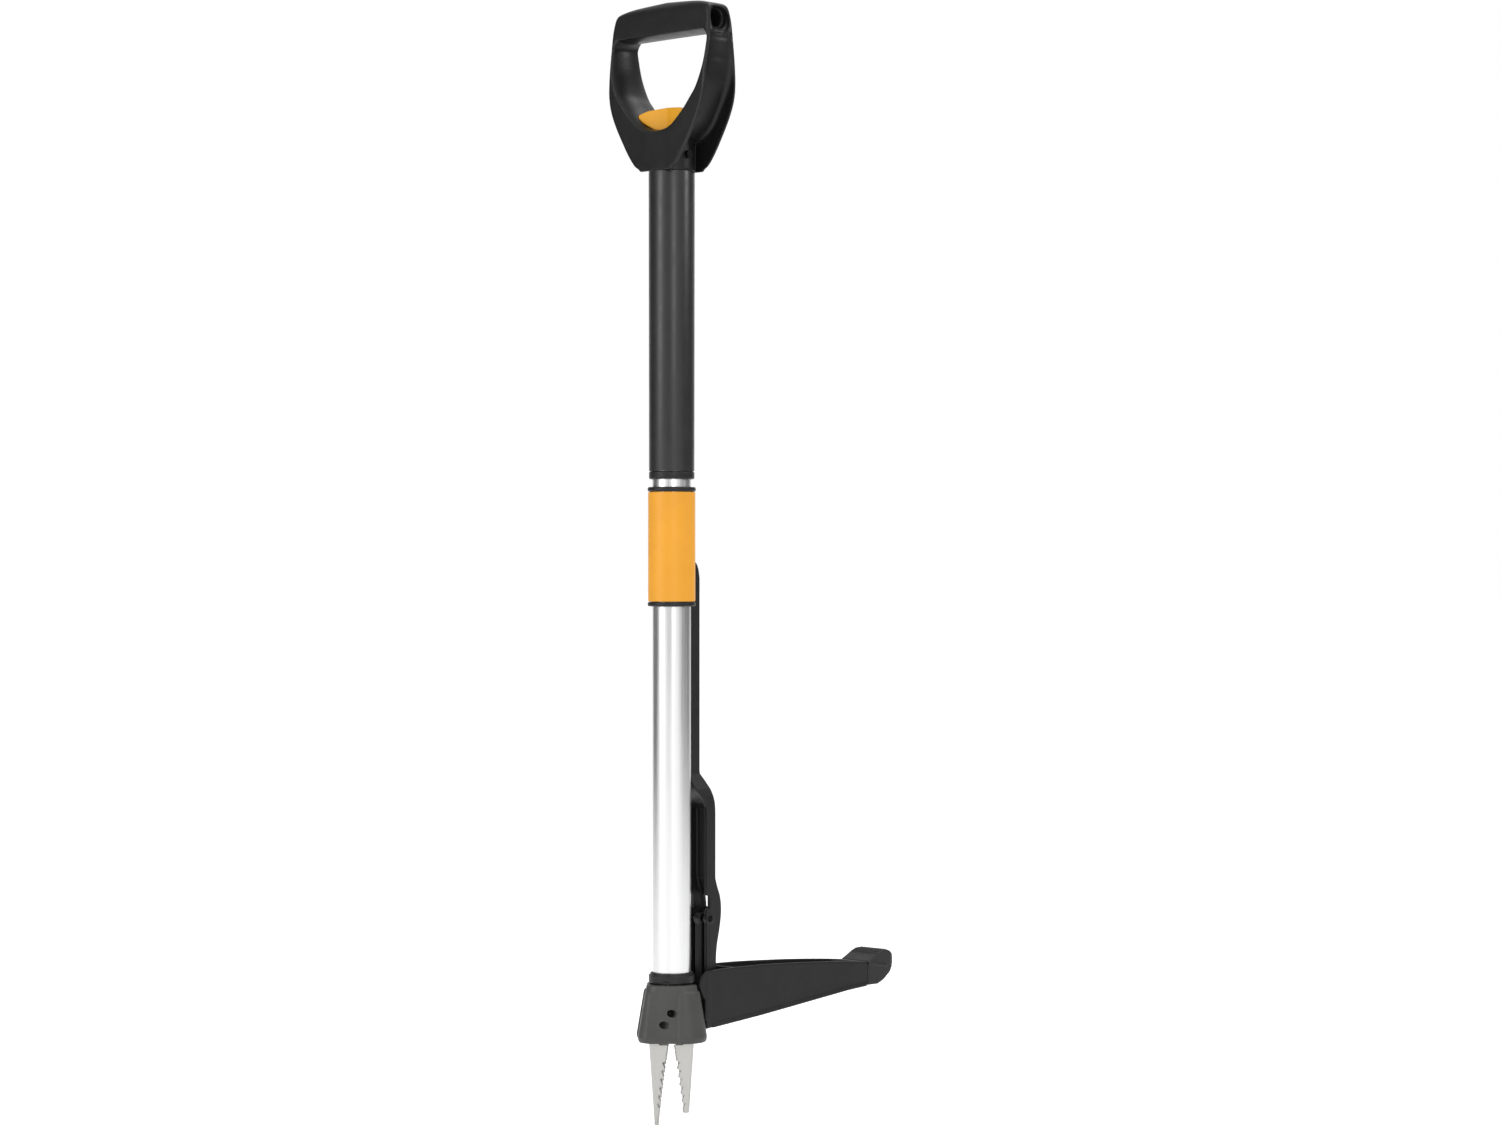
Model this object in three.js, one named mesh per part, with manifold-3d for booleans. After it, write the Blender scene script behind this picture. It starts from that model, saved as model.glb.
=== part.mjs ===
// Stand up weeder: a telescopic D-handle tool with four claws, a foot pedal that works the
// front claw, and a sleeve and rod on the tube that push the pedal down again to drop the weed.
//
// Millimetres, +Z up. The origin is on the tube's axis at the head block's flat underside, where
// the tool stops at soil level. +X points along the foot pedal, and the hinges turn about Y.
import * as THREE from "three";
import { mergeVertices } from "three/addons/utils/BufferGeometryUtils.js";
import Module from "manifold-3d";

// ---- driving dimensions ----
const GAP = 0.3; // between pieces that touch
const FINE = 36; // sides of a large round piece
const COARSE = 16; // sides of a small round piece

const TUBE_R = 17.1;
const TUBE_WALL = 1.4;
const TUBE_BOTTOM = 40;
const TUBE_TOP = 740;

const GRIP_R = 20.5;
const GRIP_R_LOW = 20.15;
const GRIP_BOTTOM = 498.5;
const HANDLE_BOTTOM = 771.5;
const HANDLE_TOP = 924.5;
const UPPER_TUBE_R = 18.6;
const UPPER_TUBE_WALL = 1;
const UPPER_TUBE_TOP = 795.7;
const END_RING_H = 7;

const BAR_H = 26.5; // height of the hand bar
const BAR_DEPTH = 33;
const ARM_HALF_DEPTH = 17.5;
const STEM_HALF_DEPTH = 21;

const SLEEVE_TOP = 491.5;
const SLEEVE_BOTTOM = 385.5;
const SLEEVE_R = 21;
const SLEEVE_RING_H = 4;
const SLEEVE_LINER_R = 18.6;

const ROD_HALF_W = 4.8;
const ROD_TOP = 428.5;
const ROD_OUT = 31; // outer face of the slim part
const CHANNEL_HALF_W = 13;
const CHANNEL_OUT = 42.8; // outer face of the channel part
const CHANNEL_IN = 31.5; // free edges of its flanges
const CHANNEL_WALL = 4.8;
const CHANNEL_WEB = 3;
const CHANNEL_BOTTOM = 47;
const SHOULDER_TOP = 233.5;
const SHOULDER_LOW = 199.5;

const LINK_X = 35;
const LINK_TOP_Z = 106.5;
const LINK_LOW_Z = 32.5;
const LINK_HALF_T = 4;
const PIN_R = 2.5;

const HEAD_H = 50.5;
const COLUMN_H = 45.5; // corner columns stop below the face panels
const HEAD_HALF_LOW = 31.5;
const HEAD_HALF_TOP = 23.9;
const HEAD_FLOOR = 4.5;
const PANEL_HALF_W = 11.5;
const PANEL_RECESS = 1;
const COLLAR_R = 20.5;
const COLLAR_TOP = 60.5;

const HINGE = [-17.5, 26.5]; // x, z of the pedal hinge
const CLAW_PIN = [-23.6, 16.5]; // x, z of the front claw's cross pin
const YOKE_IN = 9.5;
const YOKE_OUT = 12.5;
const BARREL_R = 5; // hinge barrel of the pedal
const CARRIER_HALF = 7.5; // half width of the front claw's carrier
const PILLAR_HALF = 9.2; // half width of what stands between the yoke's arms

const PEDAL_HALF_W = 20;
const PEDAL_WALL = 2.7;
const PEDAL_START = 24;
const PEDAL_PAD_START = 236;
const PEDAL_TIP = 280;

const CLAW_R = 27; // the claw's outer corner, from the tube's axis
const CLAW_T = 2;
const CLAW_LEG = 16;
const CLAW_TIP_FRONT = -75.5;
const CLAW_TIP = -62.5;

const CARRIER_R = 6;
const RELEASE_ROD_R = 2.6;
const COLLET_TOP = 535;
const COLLET_BOTTOM = 505;
const COLLET_R = 15.3;

// ---- colours ----
const BLACK = { color: 0x2c2c2e, roughness: 0.5, metalness: 0 };
const DARK = { color: 0x3c3c3c, roughness: 0.55, metalness: 0 };
const ORANGE = { color: 0xf3a42c, roughness: 0.45, metalness: 0 };
const ALUMINIUM = { color: 0xd4d6d8, roughness: 0.3, metalness: 1 };
const STEEL = { color: 0xc0c0bc, roughness: 0.35, metalness: 1 };
const ZINC = { color: 0x9a9da0, roughness: 0.4, metalness: 1 };
const NYLON = { color: 0xe6e3da, roughness: 0.55, metalness: 0 };

const wasm = await Module();
wasm.setup();
const { Manifold, Mesh: ManifoldMesh } = wasm;

// ---- making solids ----

// A closed three.js geometry as a manifold solid.
function solid(geometry) {
  const bare = geometry.clone();
  bare.deleteAttribute("normal");
  bare.deleteAttribute("uv");
  const merged = mergeVertices(bare, 1e-4);
  return new Manifold(
    new ManifoldMesh({
      numProp: 3,
      vertProperties: new Float32Array(merged.attributes.position.array),
      triVerts: new Uint32Array(merged.index.array),
    }),
  );
}

// A manifold solid as a three.js geometry.
function geometryOf(made) {
  const mesh = made.getMesh();
  const geometry = new THREE.BufferGeometry();
  geometry.setAttribute("position", new THREE.BufferAttribute(mesh.vertProperties, 3));
  geometry.setIndex(new THREE.BufferAttribute(mesh.triVerts, 1));
  geometry.computeVertexNormals();
  return geometry;
}

// A closed [radius, z] profile turned about Z. It runs anticlockwise, so that faces point out.
function lathe(profile, sides = FINE) {
  const points = profile.map(([r, z]) => new THREE.Vector2(r, z));
  if (THREE.ShapeUtils.area(points) < 0) points.reverse();
  points.push(points[0].clone());
  return solid(new THREE.LatheGeometry(points, sides).rotateX(Math.PI / 2));
}

// A ring or a disc between two heights.
function ring(outer, inner, z0, z1, sides = FINE) {
  return lathe([[inner, z0], [outer, z0], [outer, z1], [inner, z1]], sides);
}

function disc(r, z0, z1, sides = FINE) {
  const round = new THREE.CylinderGeometry(r, r, z1 - z0, sides).rotateX(Math.PI / 2);
  return solid(round.translate(0, 0, (z0 + z1) / 2));
}

// A round bar along Y from y0 to y1, with its axis at x, z.
function barY(r, x, z, y0, y1, sides = COARSE) {
  const round = new THREE.CylinderGeometry(r, r, y1 - y0, sides);
  return solid(round.translate(x, (y0 + y1) / 2, z));
}

function box(x0, x1, y0, y1, z0, z1) {
  const shape = new THREE.BoxGeometry(x1 - x0, y1 - y0, z1 - z0);
  return solid(shape.translate((x0 + x1) / 2, (y0 + y1) / 2, (z0 + z1) / 2));
}

// A round bar along X from x0 to x1, at height z in the middle plane.
function barX(r, z, x0, x1) {
  const round = new THREE.CylinderGeometry(r, r, x1 - x0, COARSE).rotateZ(Math.PI / 2);
  return solid(round.translate((x0 + x1) / 2, 0, z));
}

// A box of equal width on both sides of the tool's middle plane.
const cutBox = (x0, x1, half, z0, z1) => box(x0, x1, -half, half, z0, z1);

function shapeOf(points) {
  return new THREE.Shape(points.map(([a, b]) => new THREE.Vector2(a, b)));
}

// An outline extruded by depth, then turned so that its two axes and the depth lie along u, v, w.
function extruded(points, depth, u, v, w, offset) {
  const flat = new THREE.ExtrudeGeometry(shapeOf(points), { depth, bevelEnabled: false });
  const turn = new THREE.Matrix4().makeBasis(u, v, w).setPosition(offset);
  return solid(flat.applyMatrix4(turn));
}

const X = new THREE.Vector3(1, 0, 0);
const Y = new THREE.Vector3(0, 1, 0);
const Z = new THREE.Vector3(0, 0, 1);

function extrudeYZ(points, x0, x1) {
  return extruded(points, x1 - x0, Y, Z, X, new THREE.Vector3(x0, 0, 0));
}

function extrudeXZ(points, y0, y1) {
  return extruded(points, y1 - y0, X, Z, Y.clone().negate(), new THREE.Vector3(0, y1, 0));
}

function extrudeXY(points, z0, z1) {
  return extruded(points, z1 - z0, X, Y, Z, new THREE.Vector3(0, 0, z0));
}

// A smooth run of points through the given ones.
function smooth(points, steps) {
  const curve = new THREE.SplineCurve(points.map(([a, b]) => new THREE.Vector2(a, b)));
  return curve.getPoints(steps).map((p) => [p.x, p.y]);
}

// Points on an arc about [cx, cy], from angle a0 to a1 in degrees.
function arc(cx, cy, r, a0, a1, steps) {
  return Array.from({ length: steps + 1 }, (_, i) => {
    const a = ((a0 + ((a1 - a0) * i) / steps) * Math.PI) / 180;
    return [cx + r * Math.cos(a), cy + r * Math.sin(a)];
  });
}

// Half an outline and its mirror image, in the first axis or in the second.
const bothSides = (half) => [...half, ...half.map(([a, b]) => [-a, b]).reverse()];
const mirrored = (half) => [...half, ...half.map(([a, b]) => [a, -b]).reverse()];

// A square with rounded corners, about the origin.
function roundSquare(half, r, steps = 4) {
  const c = half - r;
  return [
    ...arc(c, c, r, 0, 90, steps),
    ...arc(-c, c, r, 90, 180, steps),
    ...arc(-c, -c, r, 180, 270, steps),
    ...arc(c, -c, r, 270, 360, steps),
  ];
}

// A solid through rings of points, each a list of [x, y, z] of the same length, lowest first.
function loft(rings) {
  const count = rings[0].length;
  const positions = rings.flat(2);
  const indices = [];
  const middle = (points) => [0, 1, 2].map((k) => points.reduce((s, p) => s + p[k], 0) / count);
  positions.push(...middle(rings[0]), ...middle(rings[rings.length - 1]));
  const lowMiddle = rings.length * count;
  const topStart = (rings.length - 1) * count;
  for (let j = 0; j < count; j++) {
    const next = (j + 1) % count;
    for (let i = 0; i + 1 < rings.length; i++) {
      const a = i * count + j;
      const b = i * count + next;
      indices.push(a, b, b + count, a, b + count, a + count);
    }
    indices.push(lowMiddle, next, j);
    indices.push(lowMiddle + 1, topStart + j, topStart + next);
  }
  const geometry = new THREE.BufferGeometry();
  geometry.setAttribute("position", new THREE.Float32BufferAttribute(positions, 3));
  geometry.setIndex(indices);
  return solid(geometry);
}

function union(...solids) {
  return solids.reduce((sum, next) => sum.add(next));
}

const model = new THREE.Group();
model.name = "stand_up_weeder";

// Adds one named mesh to the model.
function add(name, made, look) {
  const mesh = new THREE.Mesh(geometryOf(made), new THREE.MeshStandardMaterial(look));
  mesh.name = name;
  model.add(mesh);
}

// ---- lower tube and the head block it stands in ----

add("lower_tube", ring(TUBE_R, TUBE_R - TUBE_WALL, TUBE_BOTTOM, TUBE_TOP), ALUMINIUM);

// The cap in the top of the lower tube guides the lock carrier and stops the collet at full length.
const CAP_LOW = 726;
add(
  "tube_top_cap",
  lathe([
    [CARRIER_R + 0.5, CAP_LOW],
    [TUBE_R - TUBE_WALL - GAP, CAP_LOW],
    [TUBE_R - TUBE_WALL - GAP, TUBE_TOP + GAP],
    [TUBE_R + 0.5, TUBE_TOP + GAP],
    [TUBE_R + 0.5, TUBE_TOP + 4],
    [CARRIER_R + 0.5, TUBE_TOP + 4],
  ]),
  NYLON,
);

const PLUG_R = TUBE_R - TUBE_WALL - GAP;
const PILLAR = [-8, 16]; // x range of the plug's foot
const PLUG_TOP = 92;
const PLUG_SCREW_X = 8;
const PLUG_SCREW_Y = 5;
const SCREW_R = 2;
const SCREW_HEAD_R = 3.6;
const SCREW_TOP = 25;
const atPlugScrews = (made) =>
  union(...[-1, 1].map((side) => made.translate([PLUG_SCREW_X, side * PLUG_SCREW_Y, 0])));
const plug = union(
  disc(PLUG_R, TUBE_BOTTOM - 3, PLUG_TOP),
  box(PILLAR[0], PILLAR[1], -PILLAR_HALF, PILLAR_HALF, HEAD_FLOOR + GAP, TUBE_BOTTOM),
)
  .subtract(disc(PLUG_R - 3, TUBE_BOTTOM + 8, PLUG_TOP + 1, COARSE))
  .subtract(atPlugScrews(disc(SCREW_R + GAP, 0, SCREW_TOP + GAP, COARSE)));
add("tube_plug", plug, DARK);

// Section of the head block, a square set corner-on to the pedal, at each height.
const headRing = (half, r, z) => roundSquare(half, r).map(([x, y]) => [x, y, z]);
const headHalf = (z) => HEAD_HALF_LOW + ((HEAD_HALF_TOP - HEAD_HALF_LOW) * (z - 5)) / (HEAD_H - 5);
const columns = loft([
  headRing(HEAD_HALF_LOW - 2.5, 7, 0),
  headRing(HEAD_HALF_LOW - 0.4, 8.5, 2),
  headRing(HEAD_HALF_LOW, 9, 5),
  headRing(headHalf(25), 8, 25),
  headRing(headHalf(COLUMN_H - 2), 7, COLUMN_H - 2),
  headRing(headHalf(COLUMN_H) - 1.6, 6, COLUMN_H),
]);
// One face panel: a tapered slab across the block, a little inside its faces.
const panelEdge = (z) => headHalf(z) - PANEL_RECESS;
const panelProfile = [
  [-panelEdge(3), 2.5],
  [panelEdge(3), 2.5],
  [panelEdge(HEAD_H - 2), HEAD_H - 2],
  [panelEdge(HEAD_H) - 1.5, HEAD_H],
  [1.5 - panelEdge(HEAD_H), HEAD_H],
  [-panelEdge(HEAD_H - 2), HEAD_H - 2],
];
const panelSlabs = union(
  extrudeXZ(panelProfile, -PANEL_HALF_W, PANEL_HALF_W),
  extrudeXZ(panelProfile, -PANEL_HALF_W, PANEL_HALF_W).rotate([0, 0, 90]),
);
const faceRecess = (turn) =>
  extrudeXZ(
    [
      [panelEdge(0), -1],
      [HEAD_HALF_LOW + 5, -1],
      [HEAD_HALF_LOW + 5, HEAD_H],
      [panelEdge(HEAD_H), HEAD_H],
    ],
    -PANEL_HALF_W,
    PANEL_HALF_W,
  ).rotate([0, 0, turn]);
const headOutside = columns
  .subtract(union(...[0, 90, 180, 270].map(faceRecess)))
  .add(panelSlabs)
  .rotate([0, 0, 45]);

// A claw's cross section: an angle whose corner points outwards, along -X.
const SQ = Math.SQRT1_2;
function angleSection(leg, grow = 0) {
  const t = CLAW_T * Math.SQRT2 + 2 * grow;
  const w = leg * SQ + 2 * grow;
  const c = -CLAW_R - grow;
  return [
    [c, 0],
    [c + w, -w],
    [c + w + t / 2, -w + t / 2],
    [c + t, 0],
    [c + w + t / 2, w - t / 2],
    [c + w, w],
  ];
}
const TANG_LEG = 9;
const TANG_TOP = 28;
const TANG_TOP_BACK = 12;
const TANG_TOP_FRONT = 22;
const TANG_HALF = TANG_LEG * SQ;
const socket = (turn, top) =>
  extrudeXY(angleSection(CLAW_LEG, GAP), -1, top)
    .intersect(box(-40, 0, -TANG_HALF - GAP, TANG_HALF + GAP, -2, top + 1))
    .rotate([0, 0, turn]);

const barrelRoom = barY(BARREL_R + 0.6, HINGE[0], HINGE[1], -YOKE_OUT - 0.5, YOKE_OUT + 0.5);
const armRoom = extrudeXZ(
  [
    [HINGE[0] - 1.5, 20.9],
    [-12, 6],
    [26, 6],
    [26, TUBE_BOTTOM],
    [-12, TUBE_BOTTOM],
    [HINGE[0], 32.1],
  ],
  -YOKE_OUT - 0.5,
  YOKE_OUT + 0.5,
).subtract(cutBox(-9, 32, PILLAR_HALF, 0, 14));
const carrierRoom = extrudeXZ(
  [
    [-33.8, HEAD_FLOOR],
    [-12, HEAD_FLOOR],
    [-12, 32],
    [-27, 30],
    [-28.5, 28],
    [-31.4, 17],
  ],
  -CARRIER_HALF - 0.4,
  CARRIER_HALF + 0.4,
);
const clawRoom = cutBox(-36.5, -12, 12.5, -1, HEAD_FLOOR + 1);
const pedalRoom = cutBox(17.6, 60, PEDAL_HALF_W + 0.7, HEAD_FLOOR, 70);
const hornRoom = cutBox(8, 60, PEDAL_HALF_W + 0.7, 30, 70);
const wallRoom = cutBox(19, 60, PEDAL_HALF_W + 0.7, -1, 10);
const TONGUE_END = 31;
const TONGUE_TOP = 14;
const cornerOff = cutBox(TONGUE_END, 60, 40, -1, 70);
const tongue = cutBox(PILLAR[1] + GAP, TONGUE_END, PILLAR_HALF, 0, TONGUE_TOP).intersect(headOutside);
const sockets = union(
  socket(90, TANG_TOP + GAP),
  socket(270, TANG_TOP + GAP),
  socket(180, TANG_TOP_BACK + GAP),
);
const PIN_HEAD_ROOM_R = 3.2;
const crossHoles = union(
  barY(PIN_R + GAP, HINGE[0], HINGE[1], -40, 40),
  barY(PIN_HEAD_ROOM_R, HINGE[0], HINGE[1], 17, 40),
  barY(PIN_HEAD_ROOM_R, HINGE[0], HINGE[1], -40, -17),
  barY(PIN_HEAD_ROOM_R, CLAW_PIN[0], CLAW_PIN[1], -40, 40),
);
const CLAW_PIN_X = -CLAW_R + 3.4; // of a fixed claw, before it is turned to its place
const CLAW_PIN_Z = 8;
const CLAW_PIN_R = 1.8;
const CLAW_PIN_HALF = 7.2;
const FIXED_TURNS = [90, 180, 270];
const fixedClawPin = (r, half) => barY(r, CLAW_PIN_X, CLAW_PIN_Z, -half, half);
const clawPinHoles = union(
  ...FIXED_TURNS.map((turn) =>
    fixedClawPin(CLAW_PIN_R + GAP, CLAW_PIN_HALF + GAP).rotate([0, 0, turn]),
  ),
);
const screwSeat = disc(SCREW_R + GAP, -1, 6, COARSE).add(disc(SCREW_HEAD_R + GAP, -1, 2.5, COARSE));
const headSolid = headOutside
  .subtract(disc(TUBE_R + GAP, TUBE_BOTTOM - 0.5, 70))
  .subtract(cutBox(PILLAR[0] - GAP, PILLAR[1] + GAP, PILLAR_HALF + GAP, HEAD_FLOOR, TUBE_BOTTOM))
  .subtract(disc(PLUG_R + GAP, TUBE_BOTTOM - 3 - GAP, TUBE_BOTTOM))
  .subtract(union(barrelRoom, armRoom, carrierRoom, clawRoom, pedalRoom, hornRoom, wallRoom))
  .add(tongue)
  .subtract(cornerOff)
  .subtract(sockets)
  .subtract(crossHoles)
  .subtract(clawPinHoles)
  .subtract(atPlugScrews(screwSeat));
add("head_block", headSolid, DARK);

// The collar clamps the tube above the block. Its rear is lower, and it is split at the front.
const collar = lathe([
  [TUBE_R + GAP, HEAD_H + GAP],
  [COLLAR_R, HEAD_H + GAP],
  [COLLAR_R, COLLAR_TOP - 3.5],
  [COLLAR_R - 1, COLLAR_TOP - 1.5],
  [TUBE_R + 1.4, COLLAR_TOP],
  [TUBE_R + GAP, COLLAR_TOP],
])
  .subtract(box(-30, -10, -2, 2, HEAD_H, HEAD_H + 5))
  .subtract(box(-14, 2, -30, -TUBE_R - 1.2, HEAD_H, HEAD_H + 2.6));
add("head_collar", collar, BLACK);

// ---- claws ----

// The outline of a claw seen from outside, for a claw at -X: a tang above, then two straight edges
// that narrow towards the tip, with teeth cut in their lower part.
const TEETH = 6;
const TOOTH_TOP = -16;
const TOOTH_PITCH = 7.4;
const SHOULDER = -1.5; // height where the tang widens to the blade
function clawBlade(tip, tipHalf, top) {
  const full = CLAW_LEG * SQ;
  const edge = (z) => tipHalf + ((full - tipHalf) * (z - tip)) / (SHOULDER - tip);
  const tooth = (i) => {
    const high = TOOTH_TOP - i * TOOTH_PITCH;
    const low = high - 0.55 * TOOTH_PITCH;
    return [
      [edge(high), high],
      [edge(high) - 1.3, high - 1.4],
      [edge(low) - 0.9, low],
    ];
  };
  const half = [
    [TANG_HALF, top],
    [TANG_HALF, SHOULDER],
    [full, SHOULDER],
    ...Array.from({ length: TEETH }, (_, i) => tooth(i)).flat(),
    [tipHalf, tip + 1.5],
    [tipHalf * 0.4, tip],
  ];
  return extrudeYZ(bothSides(half), -CLAW_R - 1, 0);
}

function claw(tip, tipHalf, top) {
  return extrudeXY(angleSection(CLAW_LEG), tip - 1, top).intersect(clawBlade(tip, tipHalf, top));
}
const BLUNT = 2.4; // half width of a fixed claw's tip
const POINTED = 0.9; // and of the front claw's
const fixedClaw = (top) => claw(CLAW_TIP, BLUNT, top).subtract(fixedClawPin(CLAW_PIN_R + GAP, YOKE_IN));
const frontClawPin = (r, half) => barY(r, CLAW_PIN[0], CLAW_PIN[1], -half, half);
add(
  "claw_front",
  claw(CLAW_TIP_FRONT, POINTED, TANG_TOP_FRONT).subtract(frontClawPin(CLAW_PIN_R + GAP, YOKE_IN)),
  STEEL,
);
add("claw_pin_front", frontClawPin(CLAW_PIN_R, CLAW_PIN_HALF), ZINC);
[
  ["right", 90, TANG_TOP],
  ["back", 180, TANG_TOP_BACK],
  ["left", 270, TANG_TOP],
].forEach(([side, turn, top]) => {
  add("claw_" + side, fixedClaw(top).rotate([0, 0, turn]), STEEL);
  add("claw_pin_" + side, fixedClawPin(CLAW_PIN_R, CLAW_PIN_HALF).rotate([0, 0, turn]), ZINC);
});

[-1, 1].forEach((side) => {
  const screw = disc(SCREW_R, 2, SCREW_TOP, COARSE).add(disc(SCREW_HEAD_R, 0.4, 2.2, COARSE));
  add(
    side < 0 ? "plug_screw_right" : "plug_screw_left",
    screw.translate([PLUG_SCREW_X, side * PLUG_SCREW_Y, 0]),
    ZINC,
  );
});

// ---- pedal ----

const HINGE_PIN_HALF = 18.4;
add("hinge_pin", barY(PIN_R, HINGE[0], HINGE[1], -HINGE_PIN_HALF, HINGE_PIN_HALF), ZINC);

const pedalTop = smooth(
  [
    [PEDAL_PAD_START, 53],
    [205, 55.6],
    [170, 58],
    [130, 60],
    [90, 61.4],
    [45, 61.6],
    [PEDAL_START, 60.5],
  ],
  12,
);
const pedalSide = [
  [PEDAL_START, 9.3],
  [95, 16],
  [155, 22.6],
  [209, 28.6],
  [PEDAL_PAD_START, 30.6],
  ...pedalTop,
];
const pedalHalf = (x) => PEDAL_HALF_W - (2.5 * Math.max(0, x - 60)) / (PEDAL_PAD_START - 60);
const pedalPlan = (inset) =>
  mirrored([
    [0, PEDAL_HALF_W - inset],
    [60, PEDAL_HALF_W - inset],
    [PEDAL_PAD_START, pedalHalf(PEDAL_PAD_START) - inset],
  ]);
const lip = extrudeXZ(
  [
    [PEDAL_START + 8, 10],
    [95, 16],
    [155, 22.6],
    [209, 28.6],
    [PEDAL_PAD_START - 2, 30.5],
    [PEDAL_PAD_START - 2, 33],
    [209, 31.2],
    [155, 25.4],
    [95, 18.8],
    [PEDAL_START + 8, 13],
  ],
  -30,
  30,
).intersect(extrudeXY(pedalPlan(-1.4), 0, 70));
const RIB = [57.5, 61]; // cross rib between the rod's opening and the long pocket
const POCKET_END = 224;
const rodOpening = extrudeXZ(
  [
    [PEDAL_START + 3.5, 0],
    [44, 0],
    [44, 14.5],
    [RIB[0], 15.6],
    [RIB[0], 75],
    [PEDAL_START + 3.5, 75],
  ],
  -PEDAL_HALF_W + PEDAL_WALL,
  PEDAL_HALF_W - PEDAL_WALL,
);
const longPocket = extrudeXZ(
  [
    [RIB[1], 15.6],
    [95, 19],
    [155, 25.6],
    [196, 30.4],
    [POCKET_END, 53.5],
    [POCKET_END, 75],
    [RIB[1], 75],
  ],
  -30,
  30,
).intersect(extrudeXY(pedalPlan(PEDAL_WALL), 0, 80));
const horn = extrudeXZ(
  [
    [PEDAL_START + 4, 42],
    [PEDAL_START + 4, 60.7],
    [PEDAL_START, 60.5],
    [20, 58],
    [16, 52.5],
    [14.8, 48],
    [15.4, 44],
  ],
  -PEDAL_HALF_W,
  PEDAL_HALF_W,
).subtract(cutBox(0, 40, PEDAL_HALF_W - PEDAL_WALL, 0, 80));
const armSide = [
  ...arc(HINGE[0], HINGE[1], BARREL_R, 90, 270, 8),
  [-8, 14],
  [PEDAL_START + 3.5, 14],
  [PEDAL_START + 3.5, 36],
  [20, 36],
  [16, 31.5],
  [-6, 33.5],
];
const arms = extrudeXZ(armSide, -YOKE_OUT, YOKE_OUT).subtract(cutBox(-40, 60, YOKE_IN, 0, 60));
const rootPlate = cutBox(PEDAL_START, PEDAL_START + 3.5, PEDAL_HALF_W - 1, 14, 38);
const carrier = extrudeXZ(
  [
    [-29.5, 5],
    [-19, 5],
    [-19, 20],
    [-15, 28],
    [-26, 28],
    [-28, 26],
    [-29, 15],
  ],
  -CARRIER_HALF,
  CARRIER_HALF,
);
const LUG_IN = 4.6;
const LUG_OUT = 7.6;
const lugs = extrudeXZ(
  [
    [30.5, 26.5],
    [44, 13.5],
    [56, 14.5],
    [56, 26],
    [42, 38.6],
    [30.5, 38.6],
  ],
  -LUG_OUT,
  LUG_OUT,
).subtract(cutBox(20, 50, LUG_IN, 0, 60));
// The link's lower pin rides in a slot, because the link's swing only follows the pedal roughly.
const SLOT_HALF_X = PIN_R + 1.2;
const SLOT_HALF_Z = PIN_R + 0.6;
const pinSlot = extrudeXZ(
  arc(0, 0, 1, 0, 337.5, 15).map(([x, z]) => [LINK_X + x * SLOT_HALF_X, LINK_LOW_Z + z * SLOT_HALF_Z]),
  -12,
  12,
);
// The tenon on the pedal's end that the tread is pressed on.
const TENON_END = 252;
const TENON_HALF_W = 8;
const TENON_LOW = 35;
const TENON_HIGH = 48;
const pedal = extrudeXZ(pedalSide, -PEDAL_HALF_W, PEDAL_HALF_W)
  .intersect(extrudeXY(pedalPlan(0), 0, 80))
  .add(lip)
  .subtract(rodOpening)
  .subtract(longPocket)
  .subtract(cutBox(PEDAL_START - 1, PEDAL_START + 4, PEDAL_HALF_W - PEDAL_WALL, 0, 75))
  .add(horn)
  .add(rootPlate)
  .add(arms)
  .add(barY(BARREL_R, HINGE[0], HINGE[1], -YOKE_OUT, YOKE_OUT))
  .add(carrier)
  .subtract(cutBox(PEDAL_START - 1, PEDAL_START + 4, YOKE_IN, 0, 75))
  .add(lugs)
  .add(cutBox(PEDAL_PAD_START - 2, TENON_END, TENON_HALF_W, TENON_LOW, TENON_HIGH))
  .subtract(barY(PIN_R + GAP, HINGE[0], HINGE[1], -40, 40))
  .subtract(pinSlot)
  .subtract(socket(0, TANG_TOP_FRONT + GAP))
  .subtract(frontClawPin(CLAW_PIN_R + GAP, CLAW_PIN_HALF + 1));
add("pedal_lever", pedal, BLACK);

// The tread caps the pedal's end, with ribs across it for the foot.
const PAD_FACE = PEDAL_PAD_START + GAP;
const padSide = [
  [PAD_FACE, 30.7],
  [250, 31.6],
  [262, 36],
  [273, 42],
  [PEDAL_TIP - 1, 46.5],
  [PEDAL_TIP, 49],
  [PEDAL_TIP - 2.5, 54],
  [270, 59],
  [259, 62.2],
  [249, 63.2],
  [243, 62.6],
  [239, 57.5],
  [PAD_FACE, 53.3],
];
const padHalf = pedalHalf(PEDAL_PAD_START);
const padPlan = mirrored([
  [PAD_FACE, padHalf],
  [250, padHalf + 0.8],
  [262, padHalf],
  ...arc(PEDAL_TIP - 13, padHalf - 13, 13, 75, 0, 4),
]);
const grooves = union(
  ...[0, 1, 2, 3, 4].map((i) =>
    box(246.5 + i * 5.2, 248.1 + i * 5.2, -30, 30, 63.2 - 1.1 - i * i * 0.42, 80),
  ),
);
const pad = extrudeXZ(padSide, -30, 30)
  .intersect(extrudeXY(padPlan, 0, 80))
  .subtract(grooves)
  .subtract(
    cutBox(PEDAL_PAD_START - 1, TENON_END + GAP, TENON_HALF_W + GAP, TENON_LOW - GAP, TENON_HIGH + GAP),
  );
add("tread_pad", pad, BLACK);

// ---- slide sleeve, push rod and link ----

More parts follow.
